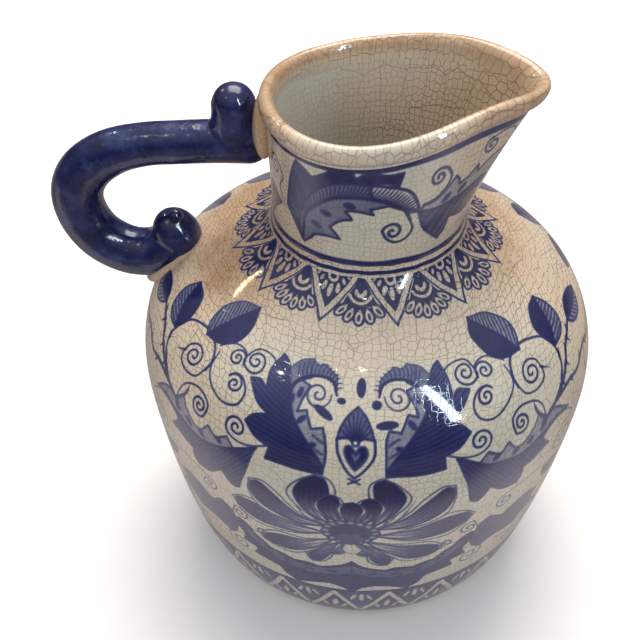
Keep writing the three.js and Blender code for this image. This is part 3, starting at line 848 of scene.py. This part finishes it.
class Nodes:
    """A short way to write a node material."""

    def __init__(self, name):
        self.material = bpy.data.materials.new(name)
        self.material.use_nodes = True
        self.tree = self.material.node_tree
        self.tree.nodes.clear()
        self.place = self.node("ShaderNodeTexCoord").outputs["Object"]

    def node(self, kind, **settings):
        made = self.tree.nodes.new(kind)
        for key, value in settings.items():
            setattr(made, key, value)
        return made

    def feed(self, socket, value):
        if isinstance(value, bpy.types.NodeSocket):
            self.tree.links.new(value, socket)
        elif isinstance(value, (tuple, list)) and len(value) == 3 and socket.type == "RGBA":
            socket.default_value = (*value, 1)
        else:
            socket.default_value = value

    def math(self, operation, a, b, c=0.0):
        made = self.node("ShaderNodeMath", operation=operation)
        for socket, value in zip(made.inputs, (a, b, c)):
            self.feed(socket, value)
        return made.outputs[0]

    def mix(self, share, a, b):
        made = self.node("ShaderNodeMix", data_type="RGBA")
        self.feed(made.inputs["Factor"], share)
        self.feed(made.inputs[6], a)
        self.feed(made.inputs[7], b)
        return made.outputs[2]

    def remap(self, value, low, high, to_low=0.0, to_high=1.0):
        made = self.node("ShaderNodeMapRange", interpolation_type="SMOOTHSTEP")
        for name, number in zip(("Value", "From Min", "From Max", "To Min", "To Max"),
                                (value, low, high, to_low, to_high)):
            self.feed(made.inputs[name], number)
        return made.outputs[0]

    def ramp(self, value, *stops):
        made = self.node("ShaderNodeValToRGB")
        self.feed(made.inputs[0], value)
        elements = made.color_ramp.elements
        while len(elements) < len(stops):
            elements.new(0.5)
        for element, (position, colour) in zip(elements, stops):
            element.position = position
            element.color = (*colour, 1)
        return made.outputs[0]

    def noise(self, size, detail):
        """Soft noise whose lumps are about size millimetres across."""
        made = self.node("ShaderNodeTexNoise")
        self.feed(made.inputs["Vector"], self.place)
        made.inputs["Scale"].default_value = 1 / (size * MM)
        made.inputs["Detail"].default_value = detail
        return made.outputs

    def shaken(self, place, size, amount):
        """A place pushed about by noise whose lumps are about size millimetres across."""
        shift = self.node("ShaderNodeVectorMath", operation="MULTIPLY_ADD")
        centred = self.node("ShaderNodeVectorMath", operation="SUBTRACT")
        self.feed(centred.inputs[0], self.noise(size, 2)[1])
        centred.inputs[1].default_value = (0.5, 0.5, 0.5)
        self.feed(shift.inputs[0], centred.outputs[0])
        shift.inputs[1].default_value = (amount,) * 3
        self.feed(shift.inputs[2], place)
        return shift.outputs[0]

    def cracks(self, place, cell, width, flat):
        """1 in the middle of a craze line and 0 away from it. Cell and width are in place's unit."""
        made = self.node("ShaderNodeTexVoronoi", feature="DISTANCE_TO_EDGE")
        made.voronoi_dimensions = "2D" if flat else "3D"
        self.feed(made.inputs["Vector"], place)
        made.inputs["Scale"].default_value = 1 / cell
        made.inputs["Randomness"].default_value = 0.6 if flat else 0.85
        return self.remap(made.outputs["Distance"], 0.15 * width / cell, width / cell, 1.0, 0.0)

    def bump(self, height, depth, below=None):
        made = self.node("ShaderNodeBump")
        made.inputs["Distance"].default_value = depth * MM
        self.feed(made.inputs["Height"], height)
        if below is not None:
            self.feed(made.inputs["Normal"], below)
        return made.outputs[0]

    def finish(self, colour, roughness, normal, specular=0.5):
        shader = self.node("ShaderNodeBsdfPrincipled")
        self.feed(shader.inputs["Base Color"], colour)
        self.feed(shader.inputs["Roughness"], roughness)
        self.feed(shader.inputs["Normal"], normal)
        shader.inputs["IOR"].default_value = 1.5
        shader.inputs["Specular IOR Level"].default_value = specular
        out = self.node("ShaderNodeOutputMaterial")
        self.tree.links.new(shader.outputs[0], out.inputs["Surface"])
        return self.material


CREAM_WARM = (0.64, 0.515, 0.385)
CREAM_COOL = (0.545, 0.53, 0.45)
# Pale grey-blue painted reflection of the sky, laid on the glaze where the mark of staining and light runs
# low.
PAINTED_SKY_REFLECTION = (0.64, 0.66, 0.63)
# Brown for real staining and for painted warm shade.
STAIN_AND_SHADE_BROWN = (0.40, 0.25, 0.14)
CRAZE_BROWN = (0.16, 0.11, 0.07)
CRAZE_CELL = 2.9  # width of a craze cell, in millimetres
CRAZE_LINE = 0.24
COBALT_WASHES = (  # how deep the brushed cobalt is, and its colour under the glaze
    (0.0, (0.22, 0.25, 0.31)), (0.42, (0.095, 0.115, 0.21)), (0.72, (0.028, 0.034, 0.125)),
    (1.0, (0.010, 0.011, 0.070)),
)


def crackle_glaze(name, mapped=True, painted=False, strength=1.0):
    """Cream glaze with two nets of craze lines, with cobalt under it where painted.

    A mapped piece carries its own unrolled "craze" places, counted in cells, and a mark that is partly brown
    staining and partly painted light: low values give a cool glaze with a painted sky reflection, high values
    a warm, brown glaze with painted warm shade.
    """
    nodes = Nodes(name)
    drift = nodes.remap(nodes.noise(38, 3)[0], 0.3, 0.7, 0.25, 0.75)
    line = CRAZE_LINE / CRAZE_CELL
    if mapped:
        # Partly brown staining, partly painted light: this mark cools the cream where cool light falls and
        # warms it where warm light and shade fall.
        stain = nodes.node("ShaderNodeAttribute", attribute_name="stain").outputs["Fac"]
        colour = nodes.mix(nodes.math("ADD", drift, stain), CREAM_COOL, CREAM_WARM)
        # Painted sky reflection where the mark runs below -0.4.
        colour = nodes.mix(nodes.remap(stain, -0.4, -1.0, 0.0, 0.8), colour, PAINTED_SKY_REFLECTION)
        # Browner where the mark runs high: partly real staining, partly painted warm shade at the back and
        # sides.
        brown_stain_and_shade = nodes.remap(stain, 0.25, 1.1, 0.0, 0.8)
        patchy = nodes.remap(nodes.noise(12, 3)[0], 0.3, 0.7, 0.7, 1.2)
        colour = nodes.mix(nodes.math("MULTIPLY", brown_stain_and_shade, patchy), colour, STAIN_AND_SHADE_BROWN)
        unrolled = nodes.node("ShaderNodeAttribute", attribute_name="craze").outputs["Vector"]
        place = nodes.shaken(nodes.shaken(unrolled, 26, 1.8), 6, 0.5)
        cell = 1.0
    else:
        colour = nodes.mix(nodes.math("ADD", drift, 0.15), CREAM_WARM, STAIN_AND_SHADE_BROWN)
        place = nodes.shaken(nodes.place, 6, 1.2 * MM)
        cell = CRAZE_CELL * 1.2 * MM
    fine = nodes.cracks(place, cell, line * cell, mapped)
    coarse = nodes.cracks(place, cell * 4.2, line * cell * 1.1, mapped)
    faded = nodes.remap(nodes.noise(21, 2)[0], 0.3, 0.7, 0.55, 1.0)
    lines = nodes.math("MAXIMUM", nodes.math("MULTIPLY", fine, faded), nodes.math("MULTIPLY", coarse, 0.8))
    # Craze lines fade where the mark runs low, under the painted sky reflection.
    if mapped:
        lines = nodes.math("MULTIPLY", lines, nodes.remap(stain, -1.0, 0.5, 0.4, 1.0))
    lines = nodes.math("MULTIPLY", lines, strength)
    speckle = nodes.remap(nodes.noise(1.3, 2)[0], 0.60, 0.78, 0.0, 0.14)
    colour = nodes.mix(speckle, colour, (0.36, 0.27, 0.19))
    craze = CRAZE_BROWN
    if painted:
        brushed = nodes.node("ShaderNodeAttribute", attribute_name="cobalt").outputs["Fac"]
        grain = nodes.math("MULTIPLY_ADD", nodes.noise(2.2, 3)[0], 0.2, -0.1)
        pooled = nodes.math("MULTIPLY_ADD", nodes.noise(11, 2)[0], 0.3, -0.15)
        depth = nodes.math("MULTIPLY_ADD", nodes.math("ADD", grain, pooled), brushed, brushed)
        blue = nodes.ramp(depth, *COBALT_WASHES)
        colour = nodes.mix(nodes.remap(depth, 0.04, 0.5), colour, blue)
        craze = nodes.mix(nodes.remap(depth, 0.1, 0.6), CRAZE_BROWN, (0.025, 0.025, 0.05))
    colour = nodes.mix(lines, colour, craze)
    waves = nodes.bump(nodes.noise(14, 1)[0], 0.16)
    normal = nodes.bump(nodes.math("MULTIPLY", lines, -1.0), 0.02, waves)
    roughness = nodes.remap(nodes.noise(7, 2)[0], 0.3, 0.7, 0.03, 0.08)
    return nodes.finish(colour, roughness, normal)


def cobalt_glaze(name):
    """Deep blue glaze, thin and greyer in places and dark where it pooled."""
    nodes = Nodes(name)
    blotches = nodes.noise(9, 5)[0]
    colour = nodes.ramp(blotches, (0.30, (0.004, 0.006, 0.036)), (0.52, (0.009, 0.014, 0.078)),
                        (0.72, (0.032, 0.047, 0.140)))
    flecks = nodes.remap(nodes.noise(1.1, 3)[0], 0.60, 0.74, 0.0, 0.4)
    colour = nodes.mix(flecks, colour, (0.10, 0.11, 0.17))
    pits = nodes.remap(nodes.noise(0.8, 1)[0], 0.28, 0.36, 1.0, 0.0)
    colour = nodes.mix(nodes.math("MULTIPLY", pits, 0.7), colour, (0.006, 0.006, 0.02))
    waves = nodes.bump(nodes.noise(8, 2)[0], 0.5)
    normal = nodes.bump(nodes.noise(1.6, 2)[0], 0.06, waves)
    return nodes.finish(colour, nodes.remap(nodes.noise(5, 2)[0], 0.3, 0.7, 0.10, 0.22), normal)


def biscuit(name):
    """Bare fired clay, pale and gritty, rubbed darker where it stands."""
    nodes = Nodes(name)
    colour = nodes.mix(nodes.remap(nodes.noise(16, 4)[0], 0.3, 0.7), (0.56, 0.42, 0.28), (0.42, 0.30, 0.19))
    grit = nodes.remap(nodes.noise(0.7, 2)[0], 0.58, 0.7, 0.0, 0.6)
    colour = nodes.mix(grit, colour, (0.20, 0.14, 0.09))
    return nodes.finish(colour, 0.8, nodes.bump(nodes.noise(0.9, 3)[0], 0.2), specular=0.3)


painted_glaze = crackle_glaze("painted_crackle_glaze", painted=True)
cream_glaze = crackle_glaze("cream_crackle_glaze", strength=0.75)
inside_glaze = crackle_glaze("inside_crackle_glaze")
slip_glaze = crackle_glaze("slip_crackle_glaze", mapped=False, strength=0.35)
handle_glaze = cobalt_glaze("cobalt_glaze")
bare_clay = biscuit("biscuit_clay")


def put_on(piece, material, slot, *nodes):
    piece.data.materials.append(material)
    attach(piece, "root")
    if nodes:
        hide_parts(*nodes)
    return piece


# ---- The body ----

SEAM_UP = 72.5  # where jar and cap were luted together


def body_patch(name, first, last, low, high, step):
    """A patch of the body's painted outside, from azimuth to azimuth and up the chart."""
    columns = round((last - first) * CHART / step) + 1
    azimuths = np.linspace(first, last, columns)
    up = np.linspace(low, high, round((high - low) / step) + 1)
    profile = np.stack([np.interp(up, body_up, line) for line in body_outside.T], -1)
    points = turned_grid(profile, azimuths)
    slope = np.gradient(profile, axis=0)
    slope /= np.linalg.norm(slope, axis=-1, keepdims=True)
    normals = np.stack([
        slope[:, 1:] * np.cos(azimuths),
        slope[:, 1:] * np.sin(azimuths),
        np.broadcast_to(-slope[:, :1], (len(up), columns)),
    ], -1)
    middle = (first + last) / 2
    half = math.floor(middle / math.pi) * math.pi + math.pi / 2
    grid_across, grid_up = np.meshgrid((azimuths - half) * CHART, up)
    run = np.cumsum(np.hypot(*np.gradient(profile, axis=0).T))
    radius = profile[:, :1]
    craze = np.stack([
        grid_across / CHART * radius / CRAZE_CELL,
        np.broadcast_to(run[:, None] / CRAZE_CELL, grid_up.shape),
        np.zeros_like(grid_up),
    ], -1)
    # Painted light with some staining: the glaze is cool facing the front, where cool light falls, and warmer
    # and browner round the sides, up the shoulder and by the handle, where warm light and shade fall.
    from_front = np.abs((azimuths + 0.45 * math.pi + math.pi) % FULL_TURN - math.pi)
    by_handle = eased(-np.cos(azimuths), 0.2, 0.9)
    stain = -0.42 + 0.7 * eased(from_front, 0.3, 1.4) + 0.5 * eased(grid_up, 55, 95)
    stain = stain + 0.4 * by_handle * eased(grid_up, 30, 80)
    cobalt = sampled(body_sheet, grid_across, grid_up)
    return grid_piece(name, points, normals=normals, cobalt=cobalt, craze=craze, stain=stain)


QUARTER = math.pi / 2
JAR = (body_up[0], SEAM_UP, "body_jar")
CAP = (SEAM_UP, body_up[-1], "shoulder_cap")
BODY_PATCHES = {  # first and last quarter turn, and the stretch that the patch covers
    "jar_front_left": (2, 3, JAR),
    "jar_front_right": (3, 4, JAR),
    "jar_back_right": (0, 1, JAR),
    "jar_back_left": (1, 2, JAR),
    "cap_front": (2, 4, CAP),
    "cap_back": (0, 2, CAP),
}
for name, (first, last, (low, high, node)) in BODY_PATCHES.items():
    grid_step = 0.5 if "front" in name else 0.9
    patch = body_patch(name, first * QUARTER, last * QUARTER, low, high, grid_step)
    put_on(patch, painted_glaze, "painted_glaze", node)

base_section = [(radius, FOOT_HEIGHT) for radius in (0.01, FOOT_INNER_RADIUS, BASE_RADIUS)]
base = grid_piece("base_underside", turned_grid(base_section, round_azimuths(180)), closed=True)
put_on(base, bare_clay, "biscuit")

FOOT_SQUARENESS = 0.35  # 1 makes the foot ring's section an ellipse, and 0 a box


def squared(wave):
    return np.sign(wave) * abs(wave) ** FOOT_SQUARENESS


ring_angles = np.linspace(0, FULL_TURN, 49)
ring_half_width = (FOOT_OUTER_RADIUS - FOOT_INNER_RADIUS) / 2
ring_half_height = FOOT_HEIGHT / 2 + 0.2
ring_section = np.stack([
    FOOT_INNER_RADIUS + ring_half_width * (1 + squared(np.sin(ring_angles))),
    ring_half_height * (1 - squared(np.cos(ring_angles))),
], -1)
foot = grid_piece("foot_ring_clay", turned_grid(ring_section, round_azimuths(240)), closed=True)
put_on(foot, bare_clay, "biscuit", "foot_ring")

# ---- The neck, the lip and the inside ----

lip_curve = smooth([
    (NECK_LEAN, -LIP_DEPTH), (0.75, -LIP_DEPTH + 0.9), (1.6, -6.9), (2.6, -5.6), (2.95, -3.9), (2.6, -2.1),
    (1.5, -0.6), (0, 0), (-1.6, -0.6), (-2.7, -2.3), (-3.1, -4.6), (-LIP_WALL, -LIP_DEPTH),
], steps=5)
outside_share = np.linspace(0, 1, 112)
inside_share = np.linspace(1, 0, 60)
crest = crest_height(neck_azimuths)
under_lip = 1 - LIP_DEPTH / (crest - NECK_HEIGHT)

levels = np.vstack([
    outside_share[:-1, None] * under_lip,
    1 + lip_curve[:, 1:] / (crest - NECK_HEIGHT),
    inside_share[1:, None] * under_lip,
])
offsets = np.concatenate([
    NECK_LEAN * outside_share[:-1],
    lip_curve[:, 0],
    -WALL + (WALL - LIP_WALL) * inside_share[1:],
])
collar = neck_points(np.broadcast_to(neck_azimuths, levels.shape), levels, offsets[:, None])

tangents = np.gradient(body_outside, axis=0)
tangents /= np.linalg.norm(tangents, axis=1, keepdims=True)
hollow = body_outside + WALL * np.stack([-tangents[:, 1], tangents[:, 0]], -1)
hollow = hollow[(hollow[:, 1] > FLOOR_TOP + 9) & (hollow[:, 1] < NECK_HEIGHT - 1)][::-6]
corner = bezier([tuple(hollow[-1]), (HEEL_RADIUS - 4, FLOOR_TOP), (HEEL_RADIUS - 23, FLOOR_TOP)], 24)
inside_profile = np.vstack([hollow, corner[1:], [(40, FLOOR_TOP), (0.01, FLOOR_TOP)]])
whole = np.vstack([collar, turned_grid(inside_profile, neck_azimuths)])
whole_normals = grid_normals(whole, closed=True)

neck_rows = len(outside_share) - 1
lip_rows = neck_rows + len(lip_curve)
neck_up = levels[: neck_rows + 1] * NECK_TALL
neck_across = np.broadcast_to(neck_azimuths * NECK_CHART, neck_up.shape)
collar_run = np.cumsum(np.linalg.norm(np.gradient(whole, axis=0).mean(1), axis=-1))
towards_spout = (1 + np.cos(neck_azimuths)) / 2
in_front = np.clip(-np.sin(neck_azimuths), 0, 1)
below_lip = np.clip((MOUTH_CREST - whole[..., 2]) / 60, 0, 1)
# Partly staining, partly painted light: the lip is greyer at the front, where cool light falls, and warm
# brown at the back and towards the spout.
lip_stain = 0.8 - 1.1 * in_front**3 + 0.25 * (1 - towards_spout) + 0.2 * towards_spout**4
# Inside, the handle's side gets a painted sky reflection and the spout's side turns brown, browner lower down
# as painted shade.
inside_stain = -1.3 + 2.0 * towards_spout + 0.3 * below_lip
past_crest = collar_run - collar_run[np.argmax(whole[..., 2].mean(1))]
inward = eased(past_crest, 1, 12)[:, None]
whole_stain = lip_stain * (1 - inward) + inside_stain * inward
# The neck's painted light: cooler facing the front, warmer towards the handle.
whole_stain[:neck_rows] = 0.0 - 0.55 * in_front**2 + 0.3 * (1 - towards_spout)
BANDS = {  # rows, glaze, slot, CAD nodes, and the width and height of a craze cell
    "neck_collar_painted": (0, neck_rows + 1, painted_glaze, "painted_glaze", ["neck_collar"], (0.8, 0.8)),
    "lip_roll_cream": (neck_rows, lip_rows, cream_glaze, "cream_glaze", ["lip_roll"], (1.0, 1.5)),
    "vessel_inside": (lip_rows - 1, len(whole), inside_glaze, "cream_glaze", [], (0.95, 0.95)),
}
for name, (first, last, material, slot, nodes, (wide, tall)) in BANDS.items():
    rows = slice(first, last)
    craze = np.zeros(whole[rows].shape)
    craze[..., 0] = neck_azimuths * NECK_CHART / CRAZE_CELL / wide
    craze[..., 1] = collar_run[rows, None] / CRAZE_CELL / tall
    marks = {"craze": craze, "stain": whole_stain[rows]}
    if material is painted_glaze:
        marks["cobalt"] = sampled(neck_sheet, neck_across, neck_up)
    band = grid_piece(name, whole[rows], True, whole_normals[rows], **marks)
    put_on(band, material, slot, *nodes)

# ---- The handle ----
# Paths lie in the plane of the spout: (reach from the axis, rise above the neck's foot).

HANDLE_THIN = 8.5
HANDLE_THICK = 10.6
SCROLL_RADIUS = 8.4
BOW = [
    (38.5, 26), (50, 26), (62, 25.5), (76, 24.3), (88, 23), (101, 19.5), (112, 13), (119, 5), (122, -4),
    (121, -14), (116.5, -23), (109, -29), (101, -31.5), (92, -30.5), (85, -26), (81.5, -20), (81, -16.5),
]
SCROLL = [(51.6, 22), (51.8, 36), (51.0, 50.0)]
SCROLL_REACH = 51.8
SCROLL_FLARE = 7  # how much wider the scroll's foot is than the scroll
SKIN_VOXEL = 0.55

roll_shares = np.linspace(0, 1, 90)
bow_radius = HANDLE_THIN + (HANDLE_THICK - HANDLE_THIN) * eased(roll_shares, 0.28, 0.58)


def rounded_end(distance, radius):
    """Radius of a roll near an end that is rounded like a ball."""
    depth = np.clip(1 - distance / radius, 0, 1)
    return radius * np.sqrt(np.maximum(1 - depth**2, 1e-4))


def roll_grid(path, radius):
    """A roll of clay along a path, of one radius or one for each step, rounded at both ends."""
    line = smooth(path, steps=24)
    run = np.concatenate([[0], np.cumsum(np.hypot(*np.diff(line, axis=0).T))])
    place = roll_shares * run[-1]
    reach, rise = np.interp(place, run, line[:, 0]), np.interp(place, run, line[:, 1])
    slope = np.gradient(np.stack([reach, rise], -1), axis=0)
    slope /= np.linalg.norm(slope, axis=1, keepdims=True)
    radius = np.minimum(rounded_end(place, radius), rounded_end(run[-1] - place, radius))
    turn = round_azimuths(40)
    out = radius[:, None] * np.cos(turn)
    return np.stack([
        -(reach[:, None] - slope[:, 1:] * out),
        radius[:, None] * np.sin(turn),
        NECK_HEIGHT + rise[:, None] + slope[:, :1] * out,
    ], -1)


def sphere_grid(centre, radii, tilt=0.0):
    """An ellipsoid, tilted in the plane of the spout."""
    polar = np.linspace(-math.pi / 2, math.pi / 2, 25)[:, None]
    turn = round_azimuths(48)
    local = np.stack([
        radii[0] * np.cos(polar) * np.cos(turn),
        radii[1] * np.cos(polar) * np.sin(turn),
        radii[2] * np.sin(polar) * np.ones_like(turn),
    ], -1)
    c, s = math.cos(tilt), math.sin(tilt)
    x, y, z = np.moveaxis(local, -1, 0)
    return np.stack([x * c + z * s, y, z * c - x * s], -1) + np.array(centre)


def fused(name, *grids):
    """Joins closed lumps into one skin, softened where they meet."""
    lumps = [grid_piece(f"{name}_{i}", grid, closed=True) for i, grid in enumerate(grids)]
    for lump in lumps:
        lump.select_set(True)
    bpy.context.view_layer.objects.active = lumps[0]
    bpy.ops.object.join()
    piece = bpy.context.view_layer.objects.active
    piece.name = name
    piece.data.name = name
    remesh = piece.modifiers.new("remesh", "REMESH")
    remesh.mode = "VOXEL"
    remesh.voxel_size = SKIN_VOXEL * MM
    remesh.use_smooth_shade = True
    soften = piece.modifiers.new("soften", "SMOOTH")
    soften.iterations = 6
    soften.factor = 0.5
    for modifier in list(piece.modifiers):
        bpy.ops.object.modifier_apply(modifier=modifier.name)
    piece.select_set(False)
    return piece


def flared_foot(low, high):
    """The wedge of clay that eases the top scroll into the upper run."""
    share = np.linspace(0, 1, 24)[:, None]
    turn = round_azimuths(48)

    def closed(radius):
        return np.pad(radius, ((1, 1), (0, 0)), constant_values=0.01)

    flare = closed(SCROLL_RADIUS + SCROLL_FLARE * (1 - share) ** 2.4)
    width = closed(SCROLL_RADIUS - 0.9 + 0.6 * share)
    height = NECK_HEIGHT + low + (high - low) * np.pad(share, ((1, 1), (0, 0)), mode="edge") + 0 * turn
    return np.stack([flare * np.cos(turn) - SCROLL_REACH, width * np.sin(turn), height], -1)


bpy.ops.object.select_all(action="DESELECT")
handle = fused(
    "handle_roll",
    roll_grid(BOW, bow_radius),
    roll_grid(SCROLL, SCROLL_RADIUS),
    flared_foot(26, 43),
    sphere_grid((-81.5, 0, NECK_HEIGHT - 21), (10.2, 10.2, 12.5), -0.35),
    sphere_grid((-80.5, -2, NECK_HEIGHT - 10), (3.2, 3.2, 3.2)),
)
put_on(handle, handle_glaze, "cobalt_glaze", "handle_bow", "handle_top_scroll", "handle_foot_knob")
upper_pad = fused("upper_slip_pad", sphere_grid((-40.2, 0, NECK_HEIGHT + 33.8), (5.0, 10.2, 14.0), 0.06))
put_on(upper_pad, slip_glaze, "cream_glaze", "upper_luting_pad")
lower_pad = fused("lower_slip_pad", sphere_grid((-84.5, 0, NECK_HEIGHT - 33), (18.2, 11.8, 5.2), -0.72))
put_on(lower_pad, slip_glaze, "cream_glaze", "lower_luting_pad")

# ---- Floor, light and camera ----

FLOOR_WHITE = (0.9, 0.9, 0.9)
GLOSS_NEAR = (0.84, 0.78, 0.77)  # the floor just in front, as it shows in the glaze
GLOSS_AWAY = (0.26, 0.24, 0.23)
STRIP_FRONT = (-0.23, -0.14)  # where the near strip begins and is full, in metres
STRIP_BACK = (-0.12, 0.05)  # where it starts to fade and is gone
FLOOR_BOUNCE = (0.38, 0.34, 0.32)  # the light it throws back, held down as dark cloth beside it would
floor_nodes = Nodes("pale_floor")
path = floor_nodes.node("ShaderNodeLightPath").outputs
floor_place = floor_nodes.node("ShaderNodeSeparateXYZ")
floor_nodes.feed(floor_place.inputs[0], floor_nodes.place)
near_front = floor_nodes.remap(floor_place.outputs["Y"], *STRIP_FRONT)
near_back = floor_nodes.remap(floor_place.outputs["Y"], *STRIP_BACK, 1.0, 0.0)
floor_gloss = floor_nodes.mix(floor_nodes.math("MULTIPLY", near_front, near_back), GLOSS_AWAY, GLOSS_NEAR)
floor_colour = floor_nodes.mix(path["Is Glossy Ray"], FLOOR_BOUNCE, floor_gloss)
floor_colour = floor_nodes.mix(path["Is Camera Ray"], floor_colour, FLOOR_WHITE)
floor_grain = floor_nodes.bump(floor_nodes.noise(40, 1)[0], 0.01)
floor_material = floor_nodes.finish(floor_colour, 0.9, floor_grain, specular=0.1)
bpy.ops.mesh.primitive_plane_add(size=8)
floor = bpy.context.object
floor.name = "floor"
floor.data.materials.append(floor_material)

world = bpy.data.worlds.new("studio")
world.use_nodes = True
bpy.context.scene.world = world
HORIZON_GLOW = 0.09
ZENITH_GLOW = 0.85
BACKDROP_GLOW = 0.88  # the pale wall that the camera sees behind the floor
tree = world.node_tree
background = tree.nodes["Background"]
background.inputs["Color"].default_value = (0.97, 0.97, 1.0, 1)
sky_place = tree.nodes.new("ShaderNodeTexCoord")
split = tree.nodes.new("ShaderNodeSeparateXYZ")
glow = tree.nodes.new("ShaderNodeMapRange")
glow.interpolation_type = "SMOOTHSTEP"
tree.links.new(sky_place.outputs["Generated"], split.inputs[0])
tree.links.new(split.outputs["Z"], glow.inputs["Value"])
for name, number in zip(("From Min", "From Max", "To Min", "To Max"), (0.1, 0.95, HORIZON_GLOW, ZENITH_GLOW)):
    glow.inputs[name].default_value = number
seen = tree.nodes.new("ShaderNodeLightPath")
pale = tree.nodes.new("ShaderNodeMix")
tree.links.new(seen.outputs["Is Camera Ray"], pale.inputs["Factor"])
tree.links.new(glow.outputs[0], pale.inputs["A"])
pale.inputs["B"].default_value = BACKDROP_GLOW
tree.links.new(pale.outputs["Result"], background.inputs["Strength"])


def softbox(name, place, target, size, watts, colour):
    light = bpy.data.lights.new(name, "AREA")
    light.shape = "RECTANGLE"
    light.size, light.size_y = size
    light.energy = watts
    light.color = colour
    lamp = bpy.data.objects.new(name, light)
    lamp.location = place
    lamp.rotation_mode = "QUATERNION"
    lamp.rotation_quaternion = (Vector(target) - Vector(place)).to_track_quat("-Z", "Y")
    bpy.context.scene.collection.objects.link(lamp)
    return lamp


softbox("overhead_key", (0.0, 0.55, 1.4), (0, 0, 0.1), (1.0, 1.0), 24, (1.0, 0.93, 0.84))
fill = softbox("front_fill", (0.2, -2.2, 0.7), (0, 0, 0.08), (2.0, 1.0), 19, (0.92, 0.96, 1.0))
fill.visible_glossy = False
GLINTS = {  # direction from the pitcher, size, watts and colour of what only shows as a reflection
    "window": ((0.53, -0.52, 0.60), (0.10, 0.90), 14, (0.76, 0.92, 1.0)),
    "lamp_left": ((-0.49, -0.33, 0.81), (0.035, 0.035), 0.6, (1.0, 0.86, 0.66)),
    "lamp_middle": ((0.01, -0.29, 0.96), (0.035, 0.035), 0.6, (1.0, 0.86, 0.66)),
    "lamp_gold": ((-0.655, 0.345, 0.672), (0.09, 0.04), 0.6, (1.0, 0.76, 0.38)),
    "lamp_behind": ((-0.66, 0.44, 0.61), (0.05, 0.05), 0.6, (1.0, 0.86, 0.66)),
}
for name, (direction, size, watts, colour) in GLINTS.items():
    lamp = softbox(name, Vector(direction) * 1.5 + Vector((0, 0, 0.16)), (0, 0, 0.16), size, watts, colour)
    lamp.visible_diffuse = False

CAMERA_PLACE = Vector((9.3, -267.0, 374.1)) * MM
CAMERA_YAW = math.radians(6.37)
CAMERA_PITCH = math.radians(43.64)
CAMERA_ROLL = math.radians(-0.94)
camera_data = bpy.data.cameras.new("camera")
camera_data.sensor_width = 36
camera_data.lens = 44.97
camera_data.clip_start = 0.01
camera = bpy.data.objects.new("camera", camera_data)
bpy.context.scene.collection.objects.link(camera)
bpy.context.scene.camera = camera
back = Vector((
    math.sin(CAMERA_YAW) * math.cos(CAMERA_PITCH),
    -math.cos(CAMERA_YAW) * math.cos(CAMERA_PITCH),
    math.sin(CAMERA_PITCH),
))
level_right = Vector((math.cos(CAMERA_YAW), math.sin(CAMERA_YAW), 0))
level_up = back.cross(level_right)
right = level_right * math.cos(CAMERA_ROLL) + level_up * math.sin(CAMERA_ROLL)
upward = level_up * math.cos(CAMERA_ROLL) - level_right * math.sin(CAMERA_ROLL)
camera.matrix_world = Matrix.Translation(CAMERA_PLACE) @ Matrix((right, upward, back)).transposed().to_4x4()
bpy.context.scene.view_settings.view_transform = "Standard"
